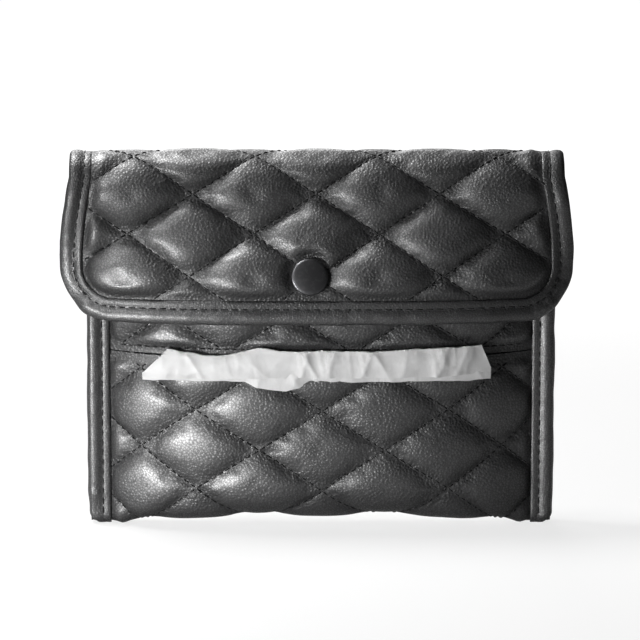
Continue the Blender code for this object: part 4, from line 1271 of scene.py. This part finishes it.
def bound(name, point_at, stations, profile, gather, seed, taper=None):
    """A binding swept along stations. gather gives how far it puckers at each of them."""
    inset, height = (np.tile(column, (len(stations), 1)) for column in profile.T)
    outer = np.ones(len(profile))
    outer[-4:] = 0
    middle = (profile[:, 1].max() + profile[:, 1].min()) / 2
    along, gather = stations[:, None], gather[:, None]
    fine = value_noise(along / 0.0031, inset / 0.009, seed)
    coarse = value_noise(along / 0.0068, inset / 0.012, seed + 3)
    pull = np.exp(-(((inset - 0.0024) / 0.003) ** 2))
    swell = (0.00012 + TAPE_SWELL * gather) * fine + (0.00016 + TAPE_SWELL * gather) * coarse
    height += np.sign(profile[:, 1] - middle) * outer * pull * swell
    inset -= outer * np.exp(-(((inset + 0.001) / 0.0016) ** 2)) * coarse * (0.00025 + 0.0004 * gather)
    if taper is not None:
        height = middle + (height - middle) * taper[1][:, None]
        inset = inset + taper[0][:, None] * (1 - (inset + EDGE_INSET) / BINDING_WIDTH)
    points = point_at(along + np.zeros_like(inset), inset, height)
    round_it = np.cumsum(np.full_like(inset, 0.0008), axis=1)
    uv = np.stack([np.broadcast_to(along, inset.shape), round_it], axis=-1).reshape(-1, 2)
    made = piece_from(name, points.reshape(-1, 3), tube(points), finish("binding leather"), uv)
    outwards(made)
    crest = np.clip((np.abs(height - middle) - 0.0022) / 0.0016, 0, 1) * outer
    attribute(made, "proud", smooth(crest).ravel())
    return made


def binding_stitches(name, point_at, reach, heights, pressed=None):
    """Stitches along a binding's line, on its front and its back."""
    pitch = sizes().binding_pitch
    count = int((reach[1] - reach[0]) / pitch)
    middles = reach[0] + (np.arange(count) + 0.5) * (reach[1] - reach[0]) / count
    line = np.full_like(middles, sizes().stitch_line - EDGE_INSET)
    half = TAPE_STITCH_SHARE / 2 * pitch
    centre = np.mean(heights)
    parts = []
    for height in heights:
        level = np.full_like(middles, height)
        if pressed is not None:
            level = centre + (height - centre) * pressed(middles)
        up = point_at(middles, line, level + math.copysign(0.001, height - centre))
        out = up - point_at(middles, line, level)
        out = out / np.linalg.norm(out, axis=-1, keepdims=True)
        parts.append((point_at(middles - half, line, level), point_at(middles + half, line, level), out))
    return threads(name, *(np.concatenate(part) for part in zip(*parts)), *TAPE_THREAD)


def bind(name, point_at, stations, layer, gather, seed, nodes, reach, taper=None, pressed=None, into=None):
    """A rolled binding and its stitches. layer says what tape_profile asks for."""
    made = bound(f"{name}_roll", point_at, stations, tape_profile(*layer), gather, seed, taper)
    settle(made, "pouch", "binding_leather", nodes, into)
    depth = TAPE_GAP + TAPE - TAPE_STITCH_DIP
    heights = (layer[1] + depth, layer[0] - depth)
    made = binding_stitches(f"{name}_stitches", point_at, reach, heights, pressed)
    settle(made, "pouch", "binding_leather", (), into)


def cover_path():
    """The flap's edge from the back round over the fold, as a function of length along it."""
    start = math.pi * FOLD_ARC
    side = start + FLAP_DROP - FLAP_CORNER_RADIUS
    corner = math.pi / 2 * FLAP_CORNER_RADIUS
    flat = 2 * (FLAP_HALF - FLAP_CORNER_RADIUS)
    total = 2 * side + 2 * corner + flat

    def edge(length):
        """Places and outward directions in the flap's cut coordinates."""
        mirrored = length > total / 2
        near = np.where(mirrored, total - length, length)
        turn = np.clip((near - side) / FLAP_CORNER_RADIUS, 0, math.pi / 2)
        middle = FLAP_HALF - FLAP_CORNER_RADIUS
        u = -middle - FLAP_CORNER_RADIUS * np.cos(turn) + np.maximum(near - side - corner, 0)
        drop = np.minimum(near - start, FLAP_DROP - FLAP_CORNER_RADIUS)
        drop = np.where(near > side, FLAP_DROP - FLAP_CORNER_RADIUS * (1 - np.sin(turn)), drop)
        out_u, out_drop = -np.cos(turn), np.sin(turn)
        sign = np.where(mirrored, -1, 1)
        return u * sign, drop, out_u * sign, out_drop

    def point_at(length, inset, height):
        u, drop, out_u, out_drop = edge(length)
        a, b = u - inset * out_u, drop - inset * out_drop
        return cover_point(a, b) + height[..., None] * normals(cover_point, a, b, -1)

    def gathered(length):
        """How far the binding puckers, most round the flap's corners."""
        middle = side + corner / 2
        away = np.minimum(np.abs(length - middle), np.abs(total - length - middle))
        return smooth(1.4 - away / CORNER_GATHER)

    return total, point_at, gathered


class POUCH_OT_bindings(bpy.types.Operator):
    """Roll the bindings round the flap, down the side seams and along the pocket's mouth"""

    bl_idname = "pouch.bindings"
    bl_label = "Bindings"

    def execute(self, context):
        self.cover()
        self.sides()
        self.mouth()
        return {"FINISHED"}

    def cover(self):
        """The flap's binding, which runs on over the fold."""
        total, point_at, gathered = cover_path()

        def pressed(length):
            """The share of its thickness that the binding keeps, less where it is bent at the fold."""
            away = np.minimum(length, total - length) - math.pi * FOLD_ARC
            return 1 - FOLD_PRESS * (1 - smooth(away / FOLD_PRESS_RUN))

        stations = np.linspace(0.0003, total - 0.0003, round(total / TAPE_STEP))
        layer = (-LAYER_GAP - LINING, QUILT_BASE, BINDING_WIDTH - EDGE_INSET, 0.0009)
        nodes = ["flap_binding", "top_fold_binding_left", "top_fold_binding_right"]
        taper = (np.zeros_like(stations), pressed(stations))
        reach = (0.002, total - 0.002)
        gather = gathered(stations)
        bind("flap_binding", point_at, stations, layer, gather, 21, nodes, reach, taper, pressed, "flap")

    def sides(self):
        """The bindings of the side seams, pressed thin at their lower ends."""
        layer = (-QUILT_BASE, SEAM_PACK + QUILT_BASE, BINDING_WIDTH - EDGE_INSET, 0.0008)
        stations = np.linspace(-0.0003, FOLD_Z - 0.0002, round(FOLD_Z / TAPE_STEP))
        ends = np.clip((SIDE_END - stations) / SIDE_END, 0, 1)
        cut = SIDE_END * (1 - np.sqrt(1 - np.minimum(ends, 0.98) ** 2))
        taper = (cut, 1 - SIDE_END_PRESS * ends**3)
        gather = smooth((0.02 - stations) / 0.02)
        reach = (0.003, FOLD_Z - 0.003)
        for name, side in (("left_side", -1), ("right_side", 1)):

            def point_at(z, inset, height, side=side):
                return at(across(side * BODY_HALF, z) - side * inset, BACK_Y - height, z)

            bind(name, point_at, stations, layer, gather, 31 + side, [f"{name}_binding"], reach, taper)

    def mouth(self):
        """The binding of the pocket's mouth, behind the flap."""
        top = MOUTH_Z - EDGE_INSET
        inner = CROWN_HALF * MOUTH_BINDING_SHARE

        def point_at(u, inset, height):
            z = top - inset
            return upper_point(u, z) + height[..., None] * normals(upper_point, u, z, 1)

        stations = np.linspace(-inner, inner, round(2 * inner / MOUTH_STEP))
        layer = (-LAYER_GAP - LINING, QUILT_BASE, MOUTH_BINDING_WIDTH - EDGE_INSET, 0.0004)
        reach = (0.002 - inner, inner - 0.002)
        bind("mouth", point_at, stations, layer, np.zeros_like(stations), 41, ["mouth_binding"], reach)


# Linings


def lining(name, panel, a, b, slack, uv):
    """A woven sheet on a panel's inner side, a little slack between its seams."""
    slack = np.minimum(slack, 0)
    outer = panel.lifted(a, b, -LAYER_GAP - 0.00005 + slack)
    inner = panel.lifted(a, b, -LAYER_GAP - LINING * 0.75 + slack)
    return two_sided(name, "lining cloth", panel, (a, b), grid_faces(*a.shape), (outer, inner), uv)


def sag(a, b, seed):
    return value_noise(a / 0.021, b / 0.018, seed) * 0.0002


def lining_box(name, panel, reach, counts, seed):
    """A lining over a box of a panel's cut."""
    (a0, a1), (b0, b1) = reach
    b, a = np.meshgrid(np.linspace(b0, b1, counts[1]), np.linspace(a0, a1, counts[0]), indexing="ij")
    slack = sag(a, b, seed) + value_noise(a / 0.008, b / 0.007, seed + 1) * 0.0001
    return lining(name, panel, a, b, slack, panel.pattern(a, b))


class POUCH_OT_linings(bpy.types.Operator):
    """Line the wrap, the upper front panel and the flap with thin woven cloth"""

    bl_idname = "pouch.linings"
    bl_label = "Linings"

    def execute(self, context):
        half = BODY_HALF - 0.0004
        reach = ((-half, half), (0.0006, 3 * WRAP_SCALE - 0.0004))
        made = lining_box("wrap_lining_cloth", wrap_panel(), reach, (72, 150), 51)
        settle(made, "pouch", "lining_cloth", ["wrap_lining"])
        wrap_rows()
        top = MOUTH_Z - EDGE_INSET
        reach = ((-half, half), (SLIT_Z + 0.0006, top))
        made = lining_box("upper_lining_cloth", upper_panel(), reach, (72, 34), 53)
        settle(made, "pouch", "lining_cloth", ["front_upper_lining"])
        self.flap_cloth()
        return {"FINISHED"}

    def flap_cloth(self):
        """The flap's own lining, cut to its rounded corners, and the fold's above it."""
        straight = FLAP_DROP - FLAP_CORNER_RADIUS
        rows = np.concatenate([
            np.linspace(-math.pi * FOLD_ARC, 0, 26)[:-1],
            np.linspace(0, straight, 22)[:-1],
            FLAP_DROP - FLAP_CORNER_RADIUS * (1 - np.sin(np.linspace(0, math.pi / 2 * 0.985, 16))),
        ])
        bend = np.clip((rows - straight) / FLAP_CORNER_RADIUS, 0, 1)
        widths = FLAP_HALF - FLAP_CORNER_RADIUS * (1 - np.sqrt(1 - bend**2)) - 0.0008
        a = widths[:, None] * np.linspace(-1, 1, 90)[None, :]
        b = np.broadcast_to(rows[:, None], a.shape)
        made = lining("flap_lining_cloth", cover_panel(), a, b, sag(a, b, 57), (a, b))
        settle(made, "pouch", "lining_cloth", ["flap_lining", "top_fold_lining"], "flap")


# Tissues


def pocket_limits(x, z):
    """The back and the front of the room inside the linings, at places in the pocket."""
    half = turn_depth(x) / 2
    down = TURN_SHARE * turn_depth(x) + LINING_LOW
    share = np.clip((turn_z(x) - z) / down, 0, 1)
    reach = (half + LINING_LOW) * np.sqrt(1 - share**2)
    above = z >= turn_z(x)
    back = np.where(above, BACK_Y + LINING_LOW, BACK_Y - half + reach)
    front = np.where(above, front_y(x, z) - LINING_LOW, BACK_Y - half - reach)
    return back, front


def tissue_edge(line, wave, pitch, row, seed):
    """Places along a tissue's edge and their heights, a little wavy."""
    x = line[0][0] + (line[-1][0] - line[0][0]) * np.linspace(0, 1, PLY_COLUMNS)
    return x, SLIT_Z + np.interp(x, *zip(*line)) + wave * value_noise(x / pitch, row, seed)


class POUCH_OT_tissues(bpy.types.Operator):
    """Fill the pocket with folded tissues and pull the next one out of the slit"""

    bl_idname = "pouch.tissues"
    bl_label = "Tissues"

    def execute(self, context):
        self.stack()
        self.pulled()
        return {"FINISHED"}

    def stack(self):
        """A block of folded leaves, their edges uneven at its top and its ends."""
        low, high = STACK_BOTTOM_Z, STACK_TOP_Z
        columns, rows = (np.linspace(start, 1, count) for start, count in zip((-1, 0), LEAF_GRID))
        x, rise = np.meshgrid(columns * STACK_HALF, rows, indexing="ij")
        back, front = pocket_limits(x, low + rise * (high - low))
        front = front + STACK_FRONT_ROOM
        thickness = np.maximum(back - STACK_BACK_ROOM - front, 0.001)
        edge_x = value_noise(np.arange(LEAVES) * 1.7, 0, 61) * 0.0008
        edge_z = value_noise(np.arange(LEAVES) * 2.3, 5, 63) * 0.0011
        shares = np.linspace(0, 1, LEAVES + 1)
        points, faces = [], []
        for leaf in range(LEAVES):
            xs = x * (1 - (0.0012 + edge_x[leaf]) / STACK_HALF)
            zs = low + rise * (high - low - 0.0014 + edge_z[leaf])
            wave = value_noise(x / 0.017, rise * 5, 70 + leaf) * 0.00008
            depths = (shares[leaf] + LEAF_GAP, shares[leaf + 1] - LEAF_GAP)
            skins = (at(xs, front + share * thickness + wave, zs).reshape(-1, 3) for share in depths)
            shell, rings = closed(*skins, grid_faces(*x.shape))
            points.append(shell)
            faces += [tuple(i + leaf * len(shell) for i in face) for face in rings]
        points = np.concatenate(points)
        made = piece_from("folded_tissues", points, faces, finish("tissue"), points[:, [0, 2]], 50)
        outwards(made)
        settle(made, "pouch", "tissue_paper", ["tissue_stack"])

    def pulled(self):
        """The next tissue, out of the slit and over its lower lip, with its second ply behind."""
        made, length = self.ply("pulled_tissue_sheet", HEM_FRONT, 0.0, 81)
        settle(made, "tissue", "tissue_paper", ["pulled_tissue"])
        made, length = self.ply("pulled_tissue_ply", HEM_BACK, PLY_BEHIND, 87)
        settle(made, "tissue", "tissue_paper")

    def ply(self, name, hem_line, behind, seed):
        """One ply: from the stack to the slit, up to the top edge, over it, and down to its hem."""
        top_x, top = tissue_edge(TISSUE_TOP, 0.0003, 0.003, 1, seed)
        hem_x, hem = tissue_edge(hem_line, 0.0002, 0.005, 2, seed)
        top = top - behind
        outside = front_y(top_x, SLIT_Z) - QUILT_BASE - 0.0012 + behind
        inside = pocket_limits(top_x, np.full_like(top_x, SLIT_Z))[1] + 0.0004
        rows = []
        for way in np.linspace(0, 1, 9)[:-1]:
            z = np.full_like(top_x, SLIT_Z + 0.0004 * math.sin(math.pi * way))
            rows.append((top_x, inside + (outside - inside) * way, z))
        for way in np.linspace(0, 1, 9)[:-1]:
            y = outside - (0.0018 - behind) * math.sin(math.pi / 2 * way)
            rows.append((top_x, y, SLIT_Z + (top - SLIT_Z) * (1 - math.cos(math.pi / 2 * way))))
        for way in np.linspace(0, 1, 7)[:-1]:
            y = outside - 0.0018 + behind - (0.0007 - behind / 2) * (1 - math.cos(math.pi * way))
            rows.append((top_x, y, top + 0.0005 * math.sin(math.pi * way)))
        for way in np.linspace(0, 1, PLY_FALL_ROWS):
            x = top_x + (hem_x - top_x) * min(1.0, way / 0.8)
            y = outside - 0.0032 + 2 * behind - 0.0016 * math.sin(math.pi * way) + 0.0003 * way
            rows.append((x, y, top + (hem - top) * way))
        x, y, z = np.moveaxis(np.array(rows), 1, 0)
        folds = np.zeros_like(x)
        for turn, reach, depth in PLY_FOLDS:
            slant = (x * math.cos(turn) + z * math.sin(turn)) / reach
            run = (z * math.cos(turn) - x * math.sin(turn)) / (3.2 * reach)
            ridge = 1 - np.abs(value_noise(slant, run, seed + reach * 900))
            folds += depth * (ridge**3 - 0.35)
        hanging = smooth((np.arange(len(rows)) - 16) / 12)[:, None]
        y = y - hanging * folds * (0.5 if behind else 1)
        line = at(x, y, z + hanging * 0.0002 * value_noise(x / 0.004, z / 0.004, seed + 9))
        normal = np.cross(np.gradient(line, axis=1), np.gradient(line, axis=0))
        normal /= np.maximum(np.linalg.norm(normal, axis=-1, keepdims=True), 1e-9)
        second = (line + normal * sizes().tissue).reshape(-1, 3)
        shell, rings = closed(line.reshape(-1, 3), second, grid_faces(*x.shape))
        steps = np.linalg.norm(np.diff(line[:, PLY_COLUMNS // 2], axis=0), axis=-1)
        along = np.concatenate([[0], np.cumsum(steps)])
        uv = np.stack([x, np.broadcast_to(along[:, None], x.shape)], axis=-1).reshape(-1, 2)
        made = piece_from(name, shell, rings, finish("tissue"), np.concatenate([uv, uv]), 80)
        outwards(made)
        return made, float(along[-1])


# The snap


def snap_matrix():
    """A frame on the flap's inner face at the snap, its Z outwards."""
    u = np.array(flap_u(SNAP_X, SNAP_DROP), float)
    drop = np.array(SNAP_DROP, float)
    out = Vector(normals(cover_point, u, drop, -1))
    placed = out.to_track_quat("Z", "Y").to_matrix().to_4x4()
    placed.translation = Vector(cover_point(u, drop))
    return placed


def deselect():
    bpy.ops.object.select_all(action="DESELECT")


def named(name):
    """The object that an operator has just made, under its own name."""
    made = bpy.context.object
    made.name = name
    made.data.name = name
    return made


def turned(name, profile, metal):
    """Raises a disc step by step through a profile of radius and height, and closes its end."""
    deselect()
    radius, height = profile[0]
    bpy.ops.mesh.primitive_circle_add(
        vertices=TURNED_SIDES, radius=radius, fill_type="NGON", location=(0, 0, 0), enter_editmode=True
    )
    made = named(name)
    bpy.ops.transform.translate(value=(0, 0, height))
    bpy.ops.mesh.select_all(action="SELECT")
    for after_radius, after_height in profile[1:]:
        rise = (0, 0, after_height - height)
        bpy.ops.mesh.extrude_region_move(TRANSFORM_OT_translate={"value": rise})
        factor = after_radius / radius
        bpy.ops.transform.resize(value=(factor, factor, 1), center_override=(0, 0, after_height))
        radius, height = after_radius, after_height
    bpy.ops.mesh.select_all(action="SELECT")
    bpy.ops.mesh.remove_doubles(threshold=1e-6)
    bpy.ops.mesh.normals_make_consistent(inside=False)
    bpy.ops.object.mode_set(mode="OBJECT")
    made.data.materials.append(metal)
    made.data.transform(snap_matrix())
    bpy.ops.object.shade_smooth_by_angle(angle=math.radians(40))
    return made


class POUCH_OT_snap(bpy.types.Operator):
    """Turn the snap's dished cap, and finish the socket, ring and stud"""

    bl_idname = "pouch.snap"
    bl_label = "Snap"

    def execute(self, context):
        base = QUILT_BASE + NODE_GAP
        top = base + CAP_HEIGHT
        radius = CAP_RADIUS
        profile = [
            (SHANK_RADIUS, SOCKET_UNDER), (SHANK_RADIUS, base), (radius - 0.0012, base),
            (radius - 0.0005, base + 0.0002), (radius - 0.0001, base + 0.0007),
        ]
        profile += [(radius - inset, top - drop) for inset, drop in CAP_EDGE] + [(0.0004, top)]
        made = turned("snap_button", profile, finish("gunmetal"))
        settle(made, "flap", "dark_snap_metal", ["snap_cap"])
        for node in ("snap_socket", "snap_spring", "snap_stud", "snap_stud_post"):
            for material_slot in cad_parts[node].material_slots:
                material_slot.material = finish("nickel")
        return {"FINISHED"}


# The back


def places_of(made):
    return np.array([corner.co[:] for corner in made.data.vertices])


def move_to(made, points):
    made.data.vertices.foreach_set("co", points.astype(np.float32).ravel())


def webbing(name, middle, seed):
    """An elastic band along its path from one strip to the other, from a subdivided plane."""
    low = LOWER_STRIP_Z - BAND_END / 2
    high = UPPER_STRIP_Z + BAND_END / 2
    deselect()
    bpy.ops.mesh.primitive_grid_add(x_subdivisions=20, y_subdivisions=120, size=1, location=(0, 0, 0))
    made = named(name)
    points = places_of(made)
    x = middle + points[:, 0] * BAND_WIDTH
    z = low + (points[:, 1] + 0.5) * (high - low)
    up = smooth((z - LOWER_STRIP_Z - STRIP_HEIGHT / 2) / BAND_RAMP)
    lifted = np.minimum(up, smooth((UPPER_STRIP_Z - STRIP_HEIGHT / 2 - z) / BAND_RAMP))
    curl = 0.0004 * (2 * points[:, 0]) ** 4 * lifted
    ripple = 0.00015 * lifted * value_noise(x / 0.02, z / 0.025, seed)
    move_to(made, at(x, STRIP_SEAT_Y + BAND_BOW * lifted + BAND_CLEAR - curl + ripple, z))
    layer = made.data.uv_layers.active
    set_uv(made.data, layer, np.stack([x, z], axis=-1))
    layer.name = "surface"
    made.data.materials.append(finish("elastic"))
    made.data.update()
    if sum(face.normal.y for face in made.data.polygons) < 0:
        made.data.flip_normals()
    wall = made.modifiers.new("wall", "SOLIDIFY")
    wall.thickness = BAND - 2 * BAND_CLEAR
    wall.offset = 1
    bpy.ops.object.modifier_apply(modifier="wall")
    made.data.shade_smooth()
    made.data.set_sharp_from_angle(angle=math.radians(60))
    settle(made, "pouch", "elastic_band", [name.replace("_webbing", "")])


def anchor(name, node, middle):
    """A leather strip over the bands' ends, with turned edges and a stitched border."""
    deselect()
    bpy.ops.mesh.primitive_cube_add(size=1, location=(0, 0, 0), enter_editmode=True)
    made = named(name)
    bpy.ops.transform.resize(value=(STRIP_LENGTH, STRIP, STRIP_HEIGHT))
    bpy.ops.transform.translate(value=at(0, STRIP_SEAT_Y + STRIP / 2, middle).tolist())
    bpy.ops.mesh.bevel(offset=0.0011, segments=5, affect="EDGES")
    bpy.ops.mesh.select_all(action="SELECT")
    bpy.ops.mesh.subdivide(number_cuts=1)
    bpy.ops.object.mode_set(mode="OBJECT")
    shape = bmesh.new()
    shape.from_mesh(made.data)
    for step in range(int(STRIP_LENGTH / STRIP_STEP)):
        bisect(shape, (-STRIP_LENGTH / 2 + STRIP_STEP * (step + 0.5), 0, 0), (1, 0, 0))
    shape.to_mesh(made.data)
    shape.free()
    points = places_of(made)
    x, z = points[:, 0], points[:, 2] + HEIGHT / 2 - middle
    border = np.minimum(STRIP_LENGTH / 2 - np.abs(x), STRIP_HEIGHT / 2 - np.abs(z))
    outside = points[:, 1] > STRIP_SEAT_Y + STRIP * 0.6
    dip = 0.0003 * np.exp(-(((border - STRIP_BORDER) / 0.0008) ** 2))
    wave = 0.00012 * value_noise(x / 0.004, z / 0.004, 17)
    points[:, 1] -= np.where(outside, dip - wave, 0)
    move_to(made, points)
    made.data.materials.append(finish("binding leather"))
    attribute(made, "proud", np.where(outside, 0.5, 0.0))
    bpy.ops.object.shade_smooth_by_angle(angle=math.radians(50))
    settle(made, "pouch", "binding_leather", [node])
    starts, ends = strip_stitches()
    face_y = STRIP_SEAT_Y + STRIP - 0.0003
    starts, ends = (at(line[:, 0], face_y, line[:, 1] + middle) for line in (starts, ends))
    outs = np.broadcast_to([0.0, 1.0, 0.0], starts.shape)
    made = threads(f"{name}_stitches", starts, ends, outs, *TAPE_THREAD)
    settle(made, "pouch", "binding_leather")


def strip_stitches():
    """Ends of the stitches round a strip and, in a cross, over each band's end."""
    line_x, line_z = STRIP_LENGTH / 2 - STRIP_BORDER, STRIP_HEIGHT / 2 - STRIP_BORDER
    corners = [(-line_x, -line_z), (line_x, -line_z), (line_x, line_z), (-line_x, line_z)]
    runs = list(zip(corners, corners[1:] + corners[:1]))
    for centre in (-BAND_CENTRE_X, BAND_CENTRE_X):
        for half in (-CROSS_HALF, CROSS_HALF):
            runs.append(((centre - half, -line_z), (centre + half, line_z)))
    starts, ends = [], []
    for (x0, z0), (x1, z1) in runs:
        count = max(2, round(math.hypot(x1 - x0, z1 - z0) / STRIP_PITCH))
        for k in range(count):
            for kept, way in ((starts, (k + 0.12) / count), (ends, (k + 0.88) / count)):
                kept.append((x0 + (x1 - x0) * way, z0 + (z1 - z0) * way))
    return np.array(starts), np.array(ends)


class POUCH_OT_back(bpy.types.Operator):
    """Sew the elastic bands to the back under their leather strips"""

    bl_idname = "pouch.back"
    bl_label = "Visor bands and strips"

    def execute(self, context):
        webbing("visor_band_left_webbing", -BAND_CENTRE_X, 71)
        webbing("visor_band_right_webbing", BAND_CENTRE_X, 73)
        anchor("lower_strip", "lower_anchor_strip", LOWER_STRIP_Z)
        anchor("upper_strip", "upper_anchor_strip", UPPER_STRIP_Z)
        return {"FINISHED"}


# The stage


def seen_rays(tree):
    """1 for what the camera sees, straight or through glass, and the rays' other kinds."""
    rays = tree.nodes.new("ShaderNodeLightPath").outputs
    return count_up(tree, "MAXIMUM", rays["Is Camera Ray"], rays["Is Transmission Ray"]), rays


def backdrop_material():
    """A grey floor that the camera sees as white, and that keeps the object's shadow."""
    made, tree, shader = new_material("backdrop", Roughness=0.9, Specular_IOR_Level=0.1)
    place = object_place(tree)
    low = tuple(0.97 * part for part in colours().floor)
    drive(tree, shader, Base_Color=blend_colours(tree, noise(tree, place, 4.0), low, colours().floor[:]))
    seen, rays = seen_rays(tree)
    seen = count_up(tree, "MAXIMUM", seen, times(tree, rays["Is Glossy Ray"], 0.1))
    away = add(tree, "ShaderNodeVectorMath", {0: place}, operation="LENGTH").outputs["Value"]
    strength = times(tree, seen, spread(tree, away, 0.2, 0.9, 0.74, 1.0))
    glow = add(tree, "ShaderNodeEmission", {"Color": (1, 1, 1, 1), "Strength": strength})
    both = add(tree, "ShaderNodeAddShader", {0: shader.outputs[0], 1: glow.outputs[0]})
    feed(tree, tree.nodes["Material Output"].inputs[0], both.outputs[0])
    return made


def studio(scene):
    """A dim white world that the camera sees as plain white."""
    scene.world = bpy.data.worlds.new("studio")
    scene.world.use_nodes = True
    tree = scene.world.node_tree
    tree.nodes.clear()
    white = {"Color": (1, 1, 1, 1)}
    shared, shown = (
        add(tree, "ShaderNodeBackground", {**white, "Strength": strength}).outputs[0]
        for strength in (0.03, 1.0)
    )
    mix = add(tree, "ShaderNodeMixShader", {0: seen_rays(tree)[0], 1: shared, 2: shown})
    add(tree, "ShaderNodeOutputWorld", {0: mix.outputs[0]})


def looking(name, data, place, aim):
    """A lamp or camera at a place, turned to its aim."""
    made = bpy.data.objects.new(name, data)
    made.location = place
    made.rotation_euler = (Vector(aim) - Vector(place)).to_track_quat("-Z", "Y").to_euler()
    bpy.context.scene.collection.objects.link(made)
    return made


def light(name, place, aim, size, power, cone=180):
    made = bpy.data.lights.new(name, "AREA")
    made.spread = math.radians(cone)
    made.shape = "RECTANGLE"
    made.size, made.size_y = size
    made.energy = power
    looking(name, made, place, aim)


class POUCH_OT_stage(bpy.types.Operator):
    """Set the floor, the lights, the world and the camera"""

    bl_idname = "pouch.stage"
    bl_label = "Stage"

    def execute(self, context):
        scene = context.scene
        deselect()
        bpy.ops.mesh.primitive_plane_add(size=6, location=(0, 0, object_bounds()[0][2]))
        floor = context.object
        floor.name = "floor"
        floor.data.materials.append(backdrop_material())
        floor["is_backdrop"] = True
        studio(scene)
        light("high left", (-0.50, -0.40, 0.46), (-0.03, 0, 0.02), (0.25, 0.2), 1.3)
        light("low left", (-0.37, -0.45, -0.03), (-0.03, 0, -0.065), (0.2, 0.08), 0.24, 44)
        light("top", (-0.24, 0.04, 0.44), (-0.06, 0, 0.07), (0.2, 0.16), 3.4)
        light("back", (-0.3, 1.2, 0.8), (0, 0, 0), (0.8, 0.6), 8.0)
        camera = bpy.data.cameras.new("camera")
        camera.sensor_width = 36
        camera.lens = 204.5
        camera.clip_end = 20
        aim = Vector((-0.0003, -0.010, 0.0073))
        rise = math.radians(10)
        place = aim + 1.5 * Vector((0, -math.cos(rise), math.sin(rise)))
        scene.camera = looking("camera", camera, place, aim)
        scene.view_settings.view_transform = "Standard"
        return {"FINISHED"}


class POUCH_PT_panel(bpy.types.Panel):
    """Lists the sizes, the colours and one button for each piece"""

    bl_label = "Tissue holder"
    bl_idname = "POUCH_PT_panel"
    bl_space_type = "VIEW_3D"
    bl_region_type = "UI"
    bl_category = "Tissue holder"

    def draw(self, context):
        for settings in (context.scene.pouch_sizes, context.scene.pouch_colours):
            box = self.layout.box()
            for label in settings.bl_rna.properties.keys():
                if label not in ("rna_type", "name"):
                    box.prop(settings, label)
        for operator in OPERATORS:
            self.layout.operator(operator.bl_idname)


OPERATORS = (
    POUCH_OT_wrap,
    POUCH_OT_front,
    POUCH_OT_flap,
    POUCH_OT_bindings,
    POUCH_OT_linings,
    POUCH_OT_tissues,
    POUCH_OT_snap,
    POUCH_OT_back,
    POUCH_OT_stage,
)
CLASSES = (PouchSizes, PouchColours, *OPERATORS, POUCH_PT_panel)


def register():
    for kind in CLASSES:
        bpy.utils.register_class(kind)
    bpy.types.Scene.pouch_sizes = PointerProperty(type=PouchSizes)
    bpy.types.Scene.pouch_colours = PointerProperty(type=PouchColours)


def unregister():
    del bpy.types.Scene.pouch_colours
    del bpy.types.Scene.pouch_sizes
    for kind in reversed(CLASSES):
        bpy.utils.unregister_class(kind)


def corners():
    return [[float(part) for part in corner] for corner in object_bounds()]


def main():
    register()
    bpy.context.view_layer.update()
    for operator in OPERATORS:
        group, step = operator.bl_idname.split(".")
        getattr(getattr(bpy.ops, group), step)()


if __name__ == "__main__":
    main()
